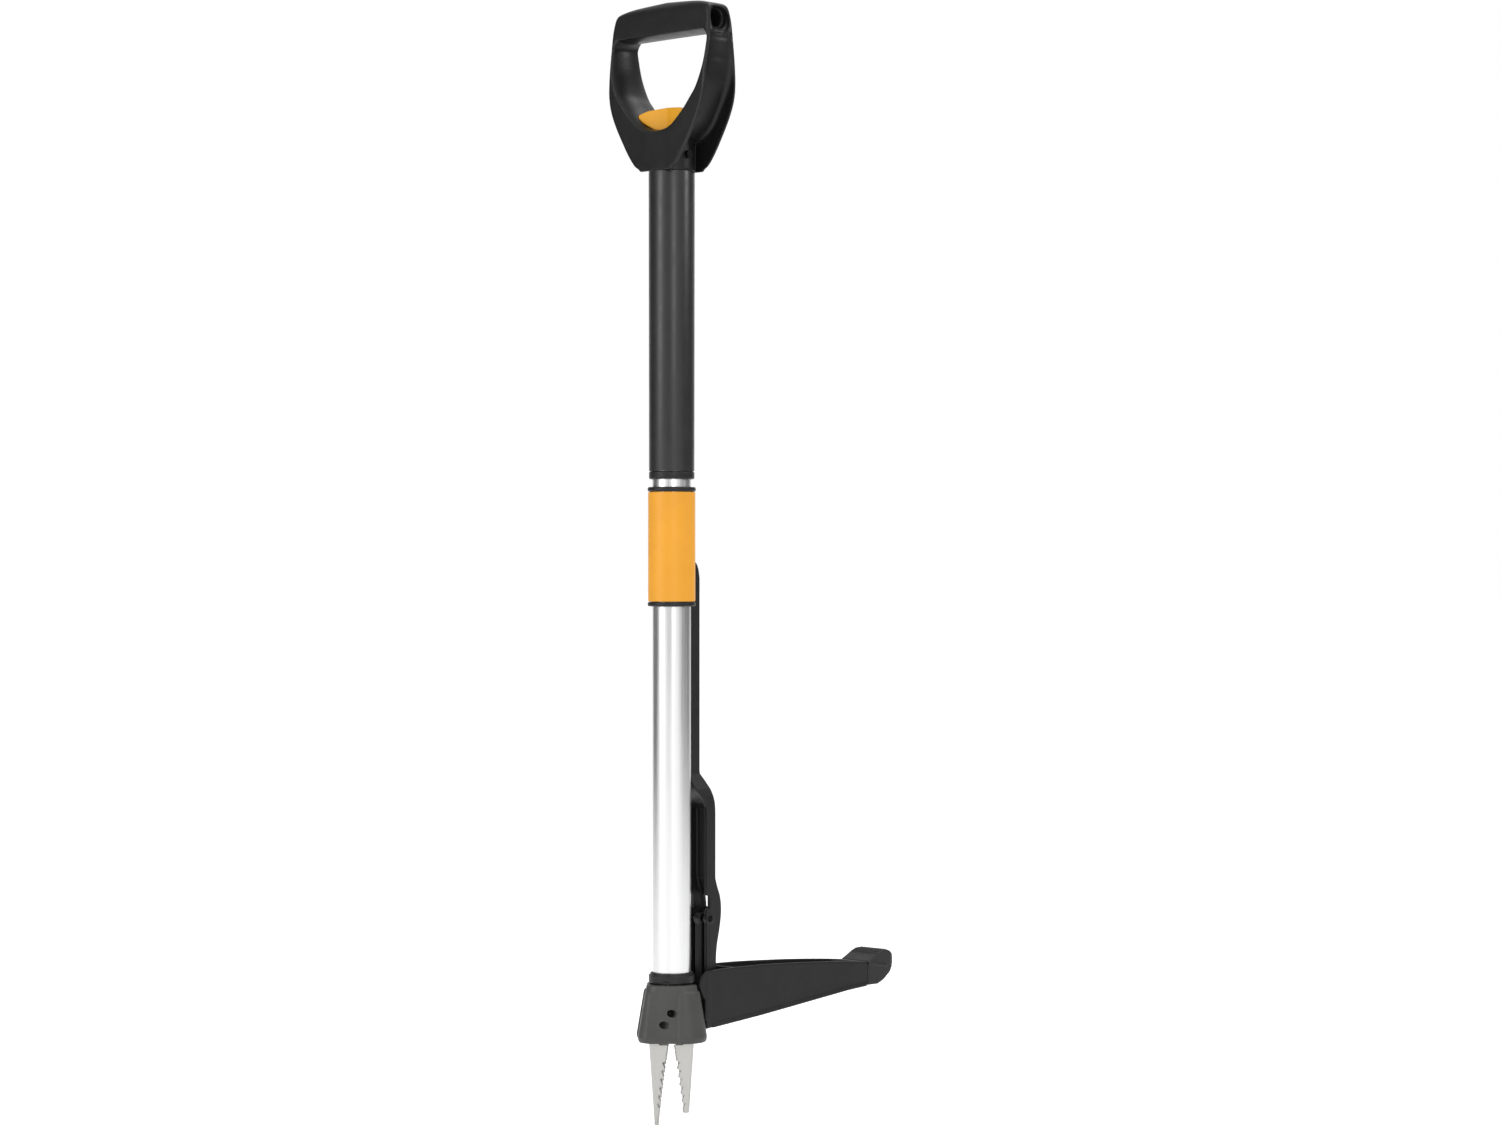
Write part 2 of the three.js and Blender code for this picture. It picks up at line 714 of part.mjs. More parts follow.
const rodSlot = (z0, z1) => box(0, 40, -ROD_HALF_W - 0.5, ROD_HALF_W + 0.5, z0, z1);
const SLOT_TOP = ROD_TOP - ROD_HALF_W + 0.4; // centre of the slot's round end
const SLEEVE_LOW = SLEEVE_BOTTOM + SLEEVE_RING_H + GAP;
const SLEEVE_HIGH = SLEEVE_TOP - SLEEVE_RING_H - GAP;
const sleeveProfile = [
  [SLEEVE_LINER_R + GAP, SLEEVE_LOW],
  [SLEEVE_R - 0.5, SLEEVE_LOW],
  [SLEEVE_R, SLEEVE_LOW + 0.8],
  [SLEEVE_R, SLEEVE_HIGH - 0.8],
  [SLEEVE_R - 0.5, SLEEVE_HIGH],
  [SLEEVE_LINER_R + GAP, SLEEVE_HIGH],
];
add(
  "slide_sleeve",
  lathe(sleeveProfile)
    .subtract(rodSlot(SLEEVE_LOW - 1, SLOT_TOP))
    .subtract(barX(ROD_HALF_W + 0.5, SLOT_TOP, 0, 40)),
  ORANGE,
);
const sleeveRing = (z0) =>
  lathe([
    [TUBE_R + GAP, z0],
    [SLEEVE_R - 0.4, z0],
    [SLEEVE_R + 0.4, z0 + 1],
    [SLEEVE_R + 0.4, z0 + SLEEVE_RING_H - 1],
    [SLEEVE_R - 0.4, z0 + SLEEVE_RING_H],
    [TUBE_R + GAP, z0 + SLEEVE_RING_H],
  ]);
add("sleeve_ring_top", sleeveRing(SLEEVE_TOP - SLEEVE_RING_H), BLACK);
add(
  "sleeve_ring_low",
  sleeveRing(SLEEVE_BOTTOM).subtract(rodSlot(SLEEVE_BOTTOM - 1, SLEEVE_LOW)),
  BLACK,
);

const ROD_SCREW_Z = [398, 414];
const ROD_SCREW_R = 1.5;
const ROD_SCREW_HEAD_R = 3;
const rodScrewHoles = union(
  ...ROD_SCREW_Z.map((z) =>
    barX(ROD_SCREW_R + GAP, z, 10, 40).add(barX(ROD_SCREW_HEAD_R + GAP, z, 28.2, 40)),
  ),
);
add(
  "sleeve_liner",
  ring(SLEEVE_LINER_R, TUBE_R + GAP, SLEEVE_LOW, SLEEVE_HIGH).subtract(rodScrewHoles),
  NYLON,
);

// Outer side of the rod, seen along Y: round top, slim bar, shoulder, channel and its bump.
const rodTopEnd = [
  [SLEEVE_LINER_R + GAP, ROD_TOP],
  [22, ROD_TOP - 0.7],
  [26.5, ROD_TOP - 4],
  [30, ROD_TOP - 10],
];
const rodShoulder = [
  [ROD_OUT - 0.1, 236],
  [34.5, 229.8],
  [38.5, 222.4],
  [41.2, 215],
  [42.5, 207.7],
  [CHANNEL_OUT, SHOULDER_LOW],
];
const rodBump = [
  [CHANNEL_OUT, 142],
  [45.4, 134],
  [48.3, 126.7],
  [49.8, 118],
  [49.7, 108],
  [48, 97],
  [44.9, 83],
  [43.6, 72],
];
const rodOuter = [
  ...smooth(rodTopEnd, 5),
  [ROD_OUT, ROD_TOP - 18],
  [ROD_OUT, SHOULDER_TOP + 4],
  ...smooth(rodShoulder, 8),
  ...smooth(rodBump, 12),
  [43.3, CHANNEL_BOTTOM],
  [TUBE_R + 0.5, CHANNEL_BOTTOM],
  [TUBE_R + 0.5, SLEEVE_BOTTOM - 1],
  [SLEEVE_LINER_R + GAP, SLEEVE_BOTTOM + 1],
];
// The rod seen from its outer side, as heights and half widths.
const rodWidening = [
  [236, 5],
  [229.8, 8],
  [222.4, 10.8],
  [215, 12.4],
  [206, CHANNEL_HALF_W],
];
const rodFront = mirrored([
  ...arc(ROD_TOP - ROD_HALF_W, 0, ROD_HALF_W, 15, 90, 4),
  [238, ROD_HALF_W],
  ...smooth(rodWidening, 6),
  [CHANNEL_BOTTOM - 1, CHANNEL_HALF_W],
]).map(([z, y]) => [y, z]);
// What is cut away between the tube and the flanges' free edges, and the hollow of the channel.
const edgeRise = [
  [31.2, 203],
  [28.5, 208.6],
  [24, 213.8],
  [20, 219],
  [TUBE_R, 225],
];
const flangeEdges = extrudeXZ(
  [[0, 0], [CHANNEL_IN, 0], [CHANNEL_IN, 198], ...smooth(edgeRise, 5), [0, 225]],
  -30,
  30,
);
const webIn = (x) => x - CHANNEL_WEB;
const channelRoom = extrudeXZ(
  [
    [0, 0],
    [webIn(43.3), 0],
    [webIn(43.6), 72],
    [webIn(48), 97],
    [webIn(49.7), 108],
    [webIn(49.8), 118],
    [webIn(48.3), 126.7],
    [webIn(CHANNEL_OUT), 142],
    [webIn(CHANNEL_OUT), 197],
    [36, 203],
    [30, 207.5],
    [18, 216],
    [0, 216],
  ],
  -CHANNEL_HALF_W + CHANNEL_WALL,
  CHANNEL_HALF_W - CHANNEL_WALL,
);
const WINDOW = [116.5, 129.1]; // heights of the channel's see-through opening
const rod = extrudeXZ(rodOuter, -CHANNEL_HALF_W, CHANNEL_HALF_W)
  .intersect(extrudeYZ(rodFront, 0, 60))
  .subtract(flangeEdges)
  .subtract(channelRoom)
  .subtract(box(30, 35.5, -20, 20, WINDOW[0], WINDOW[1]))
  .subtract(box(40, 60, -4, 4, WINDOW[0], WINDOW[1]))
  .subtract(barY(PIN_R + GAP, LINK_X, LINK_TOP_Z, -20, 20))
  .subtract(rodScrewHoles);
add("push_rod", rod, BLACK);
const linkPin = (r, z, half) => barY(r, LINK_X, z, -half, half);
add("link_pin_top", linkPin(PIN_R, LINK_TOP_Z, CHANNEL_HALF_W - GAP), ZINC);
ROD_SCREW_Z.forEach((z, i) => {
  const shank = barX(ROD_SCREW_R, z, TUBE_R + 0.5, 29);
  add("rod_screw_" + (i + 1), shank.add(barX(ROD_SCREW_HEAD_R, z, 28.5, 30.4)), ZINC);
});

const linkSide = [
  ...arc(LINK_X, LINK_TOP_Z, 4.6, 0, 180, 8),
  [LINK_X - 3, LINK_TOP_Z - 8],
  [LINK_X - 3, LINK_LOW_Z + 8],
  ...arc(LINK_X, LINK_LOW_Z, 4.6, 180, 360, 8),
  [LINK_X + 3, LINK_LOW_Z + 8],
  [LINK_X + 3, LINK_TOP_Z - 8],
];
add(
  "link_bar",
  extrudeXZ(linkSide, -LINK_HALF_T, LINK_HALF_T)
    .subtract(barY(PIN_R + GAP, LINK_X, LINK_TOP_Z, -20, 20))
    .subtract(barY(PIN_R + GAP, LINK_X, LINK_LOW_Z, -20, 20)),
  BLACK,
);
add("link_pin_low", barY(PIN_R, LINK_X, LINK_LOW_Z, -LUG_OUT, LUG_OUT), ZINC);

// ---- upper tube, its sheath and the D-handle ----

const HANDLE_SCREW_Z = 786;
const screwRooms = barY(SCREW_R + GAP, 0, HANDLE_SCREW_Z, 10, 30).add(
  barY(SCREW_R + GAP, 0, HANDLE_SCREW_Z, -30, -10),
);

const SHEATH_LOW = GRIP_BOTTOM + END_RING_H + GAP;
add(
  "upper_tube",
  ring(UPPER_TUBE_R, UPPER_TUBE_R - UPPER_TUBE_WALL, SHEATH_LOW, UPPER_TUBE_TOP).subtract(screwRooms),
  ALUMINIUM,
);
add(
  "grip_sheath",
  lathe([
    [UPPER_TUBE_R + GAP, SHEATH_LOW],
    [GRIP_R_LOW, SHEATH_LOW],
    [GRIP_R, HANDLE_BOTTOM - GAP],
    [UPPER_TUBE_R + GAP, HANDLE_BOTTOM - GAP],
  ]),
  BLACK,
);
add(
  "grip_end_ring",
  lathe([
    [TUBE_R + 0.4, GRIP_BOTTOM],
    [GRIP_R_LOW - 2, GRIP_BOTTOM],
    [GRIP_R_LOW - 0.6, GRIP_BOTTOM + 0.7],
    [GRIP_R_LOW, GRIP_BOTTOM + 2.2],
    [GRIP_R_LOW, GRIP_BOTTOM + END_RING_H],
    [TUBE_R + 0.4, GRIP_BOTTOM + END_RING_H],
  ]),
  BLACK,
);

const handleHalf = smooth(
  [
    [GRIP_R, HANDLE_BOTTOM],
    [30, 782.5],
    [38, 791.5],
    [49, 808.5],
    [54, 817.5],
    [59, 828],
    [61.5, 840],
    [62.4, 858],
    [62.3, 875],
    [61, 892],
    [58.5, 906],
    [56, 914.5],
    [50, 919.5],
    [36, 923],
    [18, HANDLE_TOP - 0.3],
  ],
  26,
);
const windowHalf = [
  [5, 810.5],
  ...smooth([[9, 811.4], [18, 815], [31, 826], [40, 836], [47, 845], [54, 862], [57, 880]], 9),
  [57, 885],
  [54.5, 889],
  [50, 890],
];
const handleDepth = bothSides([
  [STEM_HALF_DEPTH - 0.3, HANDLE_BOTTOM],
  [STEM_HALF_DEPTH, 785],
  [STEM_HALF_DEPTH - 0.2, 800],
  [19.5, 815],
  [18, 835],
  [ARM_HALF_DEPTH, 860],
  [ARM_HALF_DEPTH - 0.5, 892],
  [ARM_HALF_DEPTH - 1, 905],
  [ARM_HALF_DEPTH - 2.2, 914],
  [ARM_HALF_DEPTH - 5.5, 921],
  [ARM_HALF_DEPTH - 11, HANDLE_TOP],
]);
const CHEEK_HALF = 12.8; // half depth of the channel in each arm's outer side
const armChannel = (side) =>
  extrudeYZ(
    [
      [21.2, 760],
      [21.2, 792],
      [24, 801],
      [33.5, 809],
      [37.5, 819],
      [43.5, 831],
      [50, 841.5],
      [57, 861],
      [59.6, 880],
      [60, 893],
      [57, 896],
      [57, 916],
      [80, 916],
      [80, 760],
    ].map(([y, z]) => [side * y, z]),
    -CHEEK_HALF,
    CHEEK_HALF,
  );
// The hand bar is hollow, and open at its ends.
const barRoom = extrudeXZ(
  arc(0, 0, 1, 0, 345, 23).map(([x, z]) => [x * (BAR_DEPTH / 2 - 6), 905.5 + z * (BAR_H / 2 - 3.2)]),
  -80,
  80,
);
const BUTTON_TOP = 828.5;
const BUTTON_HALF_W = 29.5;
const BUTTON_HALF_D = 13.2;
const buttonPocket = extrudeYZ(
  bothSides([
    [10.7, 801.5],
    [BUTTON_HALF_W + 0.7, 813],
    [BUTTON_HALF_W + 0.7, 850],
  ]),
  -BUTTON_HALF_D - 0.6,
  BUTTON_HALF_D + 0.6,
);
const handle = extrudeYZ(bothSides(handleHalf), -30, 30)
  .intersect(extrudeXZ(handleDepth, -80, 80))
  .subtract(extrudeYZ(bothSides(windowHalf), -40, 40))
  .subtract(armChannel(1))
  .subtract(armChannel(-1))
  .subtract(barRoom)
  .subtract(buttonPocket)
  .subtract(disc(UPPER_TUBE_R + GAP, 700, UPPER_TUBE_TOP + GAP))
  .subtract(disc(RELEASE_ROD_R + 0.5, 700, 850, COARSE))
  .subtract(screwRooms);
add("d_handle", handle, BLACK);

// ---- telescope lock ----

const SPRING_LOW = 770;
const SPRING_ROOM_R = 5;
const carrierTop = UPPER_TUBE_TOP - GAP;
const lockCarrier = lathe(
  [
    [RELEASE_ROD_R + 0.4, 528.3],
    [CARRIER_R, 528.3],
    [CARRIER_R, 762],
    [CARRIER_R + 1.5, 764],
    [CARRIER_R + 1.5, 778],
    [UPPER_TUBE_R - UPPER_TUBE_WALL - GAP, 778],
    [UPPER_TUBE_R - UPPER_TUBE_WALL - GAP, carrierTop],
    [SPRING_ROOM_R, carrierTop],
    [SPRING_ROOM_R, SPRING_LOW],
    [RELEASE_ROD_R + 0.4, SPRING_LOW],
  ],
  32,
).subtract(screwRooms);
add("lock_carrier", lockCarrier, DARK);

const collet = lathe(
  [
    [11.5, COLLET_BOTTOM],
    [COLLET_R, COLLET_BOTTOM],
    [COLLET_R, COLLET_TOP],
    [CARRIER_R + GAP, COLLET_TOP],
    [CARRIER_R + GAP, 528],
    [RELEASE_ROD_R + 0.6, 528],
    [RELEASE_ROD_R + 0.6, 523.5],
    [8.3, 522.5],
  ],
  32,
).subtract(
  union(
    box(-20, 20, -0.75, 0.75, 500, 521),
    box(-0.75, 0.75, -20, 20, 500, 521),
  ),
);
add("lock_collet", collet, NYLON);

add(
  "lock_cone",
  lathe(
    [
      [RELEASE_ROD_R + GAP, 507],
      [10.9, 507],
      [8, 521.5],
      [RELEASE_ROD_R + GAP, 521.5],
    ],
    32,
  ),
  ZINC,
);
add("cone_nut", ring(5.5, RELEASE_ROD_R + 0.8, 502.5, 506.7, 6), ZINC);
const ROD_CLIP_Z = 790;
const RELEASE_ROD_TOP = 815;
add("release_rod", disc(RELEASE_ROD_R, 500, RELEASE_ROD_TOP, COARSE), ZINC);
add("rod_clip", ring(4.5, RELEASE_ROD_R + GAP, ROD_CLIP_Z, ROD_CLIP_Z + 1.6, COARSE), ZINC);

class Helix extends THREE.Curve {
  constructor(radius, z0, z1, turns) {
    super();
    Object.assign(this, { radius, z0, z1, turns });
  }

  getPoint(t, target = new THREE.Vector3()) {
    const a = t * this.turns * 2 * Math.PI;
    const z = this.z0 + (this.z1 - this.z0) * t;
    return target.set(this.radius * Math.cos(a), this.radius * Math.sin(a), z);
  }
}
const WIRE_R = 0.5;
const springTurns = 6;
const wire = new THREE.Shape(arc(0, 0, WIRE_R, 0, 288, 4).map(([a, b]) => new THREE.Vector2(a, b)));
add(
  "release_spring",
  solid(
    new THREE.ExtrudeGeometry(wire, {
      extrudePath: new Helix(3.85, SPRING_LOW + WIRE_R + GAP, ROD_CLIP_Z - WIRE_R - GAP, springTurns),
      steps: springTurns * 12,
      bevelEnabled: false,
    }),
  ),
  ZINC,
);

const button = extrudeYZ(
  bothSides([
    [10, 808.5],
    [BUTTON_HALF_W, 819.5],
    [BUTTON_HALF_W, BUTTON_TOP - 1.2],
    [BUTTON_HALF_W - 2, BUTTON_TOP],
  ]),
  -BUTTON_HALF_D,
  BUTTON_HALF_D,
)
  .subtract(disc(RELEASE_ROD_R + GAP, 800, RELEASE_ROD_TOP + GAP, COARSE));
add("release_button", button, ORANGE);

[-1, 1].forEach((side) => {
  const shank = barY(SCREW_R, 0, HANDLE_SCREW_Z, 11, 21.5);
  const screw = shank.add(barY(SCREW_HEAD_R, 0, HANDLE_SCREW_Z, 21.4, 23.4));
  add(side < 0 ? "handle_screw_right" : "handle_screw_left", screw.scale([1, side, 1]), ZINC);
});

export default model;
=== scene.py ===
"""Looks of the stand up weeder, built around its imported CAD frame.

Moulded pieces are meshed from smooth distance fields, so that their edges are rounded and their
walls blend into one another. Turned pieces are lathed. Fields work in millimetres, in the row
frame: the origin is on the tube's axis at the head block's underside, +X lies along the pedal.
"""

import math

import bpy
import numpy as np
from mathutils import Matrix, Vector


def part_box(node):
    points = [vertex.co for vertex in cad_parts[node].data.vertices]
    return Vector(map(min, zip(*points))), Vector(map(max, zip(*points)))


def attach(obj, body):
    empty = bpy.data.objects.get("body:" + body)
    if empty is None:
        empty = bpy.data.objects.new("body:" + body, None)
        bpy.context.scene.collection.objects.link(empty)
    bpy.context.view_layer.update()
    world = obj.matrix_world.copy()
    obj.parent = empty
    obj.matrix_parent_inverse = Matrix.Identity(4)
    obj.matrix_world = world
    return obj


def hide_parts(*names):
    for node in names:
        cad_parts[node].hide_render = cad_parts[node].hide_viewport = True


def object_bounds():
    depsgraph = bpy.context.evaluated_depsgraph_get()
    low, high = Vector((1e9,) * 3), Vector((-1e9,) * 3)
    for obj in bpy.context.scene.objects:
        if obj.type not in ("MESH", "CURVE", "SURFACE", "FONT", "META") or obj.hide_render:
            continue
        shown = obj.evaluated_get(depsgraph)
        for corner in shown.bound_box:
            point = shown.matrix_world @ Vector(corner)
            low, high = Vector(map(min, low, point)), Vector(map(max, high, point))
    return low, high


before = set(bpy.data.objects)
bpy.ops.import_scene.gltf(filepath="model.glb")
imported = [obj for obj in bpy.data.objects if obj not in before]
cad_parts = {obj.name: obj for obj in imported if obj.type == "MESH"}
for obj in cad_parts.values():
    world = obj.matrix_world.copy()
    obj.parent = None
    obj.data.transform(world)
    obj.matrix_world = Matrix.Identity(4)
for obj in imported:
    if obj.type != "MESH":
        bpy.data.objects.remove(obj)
cad_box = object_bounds()

MM = 0.001
SQ = math.sqrt(0.5)  # sine and cosine of 45 degrees


def cad(node):
    """Lowest and highest corner of a CAD node, in millimetres."""
    return tuple(np.array(corner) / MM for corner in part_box(node))


# ---- distance fields: the last number given to both, either and cut is a rounding radius ----


def both(a, b, r):
    """Where two fields overlap, with a rounded edge."""
    h = np.maximum(r - np.abs(a - b), 0) / r
    return np.maximum(a, b) + h * h * r / 4


def either(a, b, r):
    """Two fields joined, with a fillet between them."""
    return -both(-a, -b, r)


def cut(a, b, r):
    """The first field without the second, with a rounded rim."""
    return both(a, -b, r)


def span(v, low, high):
    """The slab between two values."""
    return np.abs(v - (low + high) / 2) - (high - low) / 2


def block(x, y, z, low, high, r=1.0):
    """A box with rounded edges."""
    q = [span(v, a, b) + r for v, a, b in zip((x, y, z), low, high)]
    out = sum(np.maximum(v, 0) ** 2 for v in q)
    return np.sqrt(out) + np.minimum(np.maximum(np.maximum(q[0], q[1]), q[2]), 0) - r


def rod(a, b, r, centre=(0, 0)):
    """An endless round bar across the plane of a and b."""
    return np.hypot(a - centre[0], b - centre[1]) - r


def shell(a, b, r, half):
    """An endless round wall, from its middle radius and half its thickness."""
    return np.abs(np.hypot(a, b) - r) - half


def outline(points, a, b):
    """Distance to a closed outline in the plane of a and b, negative inside it."""
    shape = np.broadcast(a, b).shape
    nearest, inside = np.full(shape, np.inf), np.zeros(shape, bool)
    for (a0, b0), (a1, b1) in zip(points, [*points[1:], points[0]]):
        ea, eb = a1 - a0, b1 - b0
        if ea == eb == 0:
            continue
        t = np.clip(((a - a0) * ea + (b - b0) * eb) / (ea * ea + eb * eb), 0, 1)
        nearest = np.minimum(nearest, (a - a0 - t * ea) ** 2 + (b - b0 - t * eb) ** 2)
        if eb:
            inside ^= ((b0 <= b) != (b1 <= b)) & (a < a0 + (b - b0) * ea / eb)
    return np.where(inside, -1, 1) * np.sqrt(nearest)


def curve(points, steps=6):
    """A smooth run of points through the given ones."""
    p = np.array([points[0], *points, points[-1]], float)
    made = []
    for i in range(1, len(p) - 2):
        for t in np.arange(steps) / steps:
            ahead = p[i + 1] - p[i - 1]
            after = p[i + 2] - p[i]
            made.append(
                (2 * t**3 - 3 * t**2 + 1) * p[i]
                + (t**3 - 2 * t**2 + t) * ahead / 2
                + (3 * t**2 - 2 * t**3) * p[i + 1]
                + (t**3 - t**2) * after / 2
            )
    return [tuple(v) for v in [*made, p[-1]]]


def mirrored(half):
    """A closed outline from its half on the positive side of the first axis."""
    return [*half, *((-a, b) for a, b in reversed(half))]


def along(v, points):
    """A value that follows v through the given (v, value) points."""
    at, values = zip(*sorted(points))
    return np.interp(v, at, values)


# ---- meshes ----


def field_piece(name, field, low, high, step):
    """A smooth closed mesh where field(x, y, z) is negative, by surface nets."""
    # the grid leaves at least two empty steps on every side
    starts = [v - 2 * step for v in low]
    axes = [np.arange(a, b + 3 * step, step) for a, b in zip(starts, high)]
    x, y, z = axes[0][:, None, None], axes[1][None, :, None], axes[2][None, None, :]
    f = np.array(np.broadcast_to(field(x, y, z), [len(a) for a in axes]), np.float32)
    inside = f < 0
    corners = [(i, j, k) for i in (0, 1) for j in (0, 1) for k in (0, 1)]
    cells = [n - 1 for n in f.shape]

    def shifted(grid, offset):
        return grid[tuple(slice(o, o + n) for o, n in zip(offset, cells))]

    # one vertex in each cell that the surface crosses, at the mean of its crossings
    filled = sum(shifted(inside, c).astype(np.int8) for c in corners)
    place = np.argwhere((filled > 0) & (filled < 8))
    index = np.full(cells, -1, np.int64)
    index[tuple(place.T)] = np.arange(len(place))
    total, count = np.zeros((len(place), 3)), np.zeros(len(place))
    for a in corners:
        for axis in range(3):
            if a[axis]:
                continue
            b = tuple(v + (k == axis) for k, v in enumerate(a))
            fa, fb = f[tuple((place + a).T)], f[tuple((place + b).T)]
            crosses = (fa < 0) != (fb < 0)
            t = np.where(crosses, fa / np.where(crosses, fa - fb, 1), 0)
            point = np.array(a, float) + t[:, None] * (np.array(b) - a)
            total += point * crosses[:, None]
            count += crosses
    vertices = (np.array(starts) + (place + total / count[:, None]) * step) * MM

    # one face across each grid edge that the surface crosses, turned outwards
    quads = []
    for axis in range(3):
        u, v = (axis + 1) % 3, (axis + 2) % 3
        ahead = np.roll(inside, -1, axis)
        edges = np.argwhere(inside != ahead)
        edges = edges[edges[:, axis] < cells[axis]]
        around = []
        for du, dv in ((-1, -1), (0, -1), (0, 0), (-1, 0)):
            cell = edges.copy()
            cell[:, u] += du
            cell[:, v] += dv
            around.append(index[tuple(cell.T)])
        quad = np.stack(around, 1)
        inwards = ~inside[tuple(edges.T)]
        quad[inwards] = quad[inwards][:, ::-1]
        quads.append(quad)
    mesh = bpy.data.meshes.new(name)
    mesh.from_pydata(vertices.tolist(), [], np.concatenate(quads).tolist())
    mesh.shade_smooth()
    return placed(name, mesh)


def turned_piece(name, profile, segments=128):
    """A closed [radius, z] profile in millimetres, turned about the tube's axis."""
    rows = len(profile)
    angles = np.arange(segments) * 2 * math.pi / segments
    vertices = [
        (r * math.cos(a) * MM, r * math.sin(a) * MM, z * MM) for a in angles for r, z in profile
    ]
    faces = []
    for i in range(segments):
        here, there = i * rows, (i + 1) % segments * rows
        for j in range(rows):
            k = (j + 1) % rows
            faces.append((here + j, there + j, there + k, here + k))
    mesh = bpy.data.meshes.new(name)
    mesh.from_pydata(vertices, [], faces)
    mesh.shade_smooth()
    return placed(name, mesh)


def turned_section(inner, outer, low, high, round_off, outer_high=None):
    """A ring's profile for turned_piece, with rounded outer corners; outer_high makes a cone."""
    outer_high = outer if outer_high is None else outer_high
    quarter = [k * math.pi / 8 for k in range(5)]
    c = round_off
    bottom = [(outer - c + c * math.sin(a), low + c - c * math.cos(a)) for a in quarter]
    top = [(outer_high - c + c * math.cos(a), high - c + c * math.sin(a)) for a in quarter]
    return [(inner, low), *bottom, *top, (inner, high)]


def placed(name, mesh):
    """The mesh as an object in the scene."""
    piece = bpy.data.objects.new(name, mesh)
    bpy.context.scene.collection.objects.link(piece)
    return piece


def fitted(piece, body, nodes, material):
    """The piece rides on a body, stands for CAD nodes and takes its finish."""
    piece.data.materials.clear()
    piece.data.materials.append(material)
    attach(piece, body)
    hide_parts(*nodes)
    return piece


def from_field(name, node, field, step, body, material):
    """A field piece in the box of the CAD node it stands for; step is the grid's spacing."""
    low, high = cad(node)
    fitted(field_piece(name, field, low, high, step), body, [node], material)


def from_lathe(name, node, round_off, body, material, bore=None, wall=None, segments=128):
    """A turned piece as long and as wide as its CAD node, with a given bore radius or wall."""
    low, high = cad(node)
    inner = high[0] - wall if bore is None else bore
    section = turned_section(inner, high[0], low[2], high[2], round_off)
    fitted(turned_piece(name, section, segments), body, [node], material)


# ---- materials: noise scales are in features per metre, bump depths in metres ----

CLOUD_SCALE = 35  # uneven colour of moulded plastic
SMEAR_SCALE = 90  # uneven gloss of moulded plastic


def new_material(name, colour, roughness, metallic=0.0, specular=0.5):
    """A plain material, and its shader."""
    material = bpy.data.materials.new(name)
    material.use_nodes = True
    nodes = material.node_tree.nodes
    shader = nodes["Principled BSDF"]
    shader.inputs["Base Color"].default_value = (*colour, 1)
    shader.inputs["Roughness"].default_value = roughness
    shader.inputs["Metallic"].default_value = metallic
    shader.inputs["Specular IOR Level"].default_value = specular
    return material, shader


def noise(material, scale, stretch=(1, 1, 1), detail=4.0):
    """A noise in object space, which is the row frame in metres."""
    tree = material.node_tree
    coordinates = tree.nodes.new("ShaderNodeTexCoord")
    mapping = tree.nodes.new("ShaderNodeMapping")
    mapping.inputs["Scale"].default_value = stretch
    texture = tree.nodes.new("ShaderNodeTexNoise")
    texture.inputs["Scale"].default_value = scale
    texture.inputs["Detail"].default_value = detail
    texture.inputs["Roughness"].default_value = 0.55
    tree.links.new(coordinates.outputs["Object"], mapping.inputs["Vector"])
    tree.links.new(mapping.outputs["Vector"], texture.inputs["Vector"])
    return texture.outputs["Fac"]


def ranged(material, source, low, high):
    """The source, which runs from about 0.3 to 0.7, brought to low ... high."""
    node = material.node_tree.nodes.new("ShaderNodeMapRange")
    node.inputs["From Min"].default_value = 0.3
    node.inputs["From Max"].default_value = 0.7
    node.inputs["To Min"].default_value = low
    node.inputs["To Max"].default_value = high
    material.node_tree.links.new(source, node.inputs["Value"])
    return node.outputs["Result"]


def tinted(material, shader, source, dark, light):
    """The base colour runs between two colours with the source."""
    tree = material.node_tree
    mix = tree.nodes.new("ShaderNodeMix")
    mix.data_type = "RGBA"
    mix.inputs["A"].default_value = (*dark, 1)
    mix.inputs["B"].default_value = (*light, 1)
    tree.links.new(ranged(material, source, 0, 1), mix.inputs["Factor"])
    tree.links.new(mix.outputs["Result"], shader.inputs["Base Color"])


def bumped(material, shader, source, height, strength):
    """A fine relief that follows the source."""
    tree = material.node_tree
    bump = tree.nodes.new("ShaderNodeBump")
    bump.inputs["Strength"].default_value = strength
    bump.inputs["Distance"].default_value = height
    tree.links.new(source, bump.inputs["Height"])
    tree.links.new(bump.outputs["Normal"], shader.inputs["Normal"])


def shade(colour, factor):
    """A darker or lighter colour of the same hue."""
    return tuple(min(1, c * factor) for c in colour)


def moulded(name, colour, roughness, grain=1400, depth=0.00004, specular=0.5, spread=0.12):
    """Moulded plastic: fine spark-eroded grain, slightly uneven gloss and colour."""
    material, shader = new_material(name, colour, roughness, specular=specular)
    cloudy = noise(material, CLOUD_SCALE, detail=3)
    tinted(material, shader, cloudy, shade(colour, 1 - spread), shade(colour, 1 + spread))
    gloss = ranged(material, noise(material, SMEAR_SCALE), roughness - 0.04, roughness + 0.05)
    material.node_tree.links.new(gloss, shader.inputs["Roughness"])
    bumped(material, shader, noise(material, grain, detail=2), depth, 0.35)
    return material


def drawn_metal(name, colour, roughness, stretch, scale=900, depth=0.00002, spread=0.05):
    """Metal with fine lines along one axis, left by drawing or brushing."""
    material, shader = new_material(name, colour, roughness, metallic=1.0)
    lines = noise(material, scale, stretch, detail=5)
    tinted(material, shader, lines, shade(colour, 1 - spread), shade(colour, 1 + spread))
    gloss = ranged(material, lines, roughness - 0.05, roughness + 0.06)
    material.node_tree.links.new(gloss, shader.inputs["Roughness"])
    bumped(material, shader, lines, depth, 0.3)
    return material


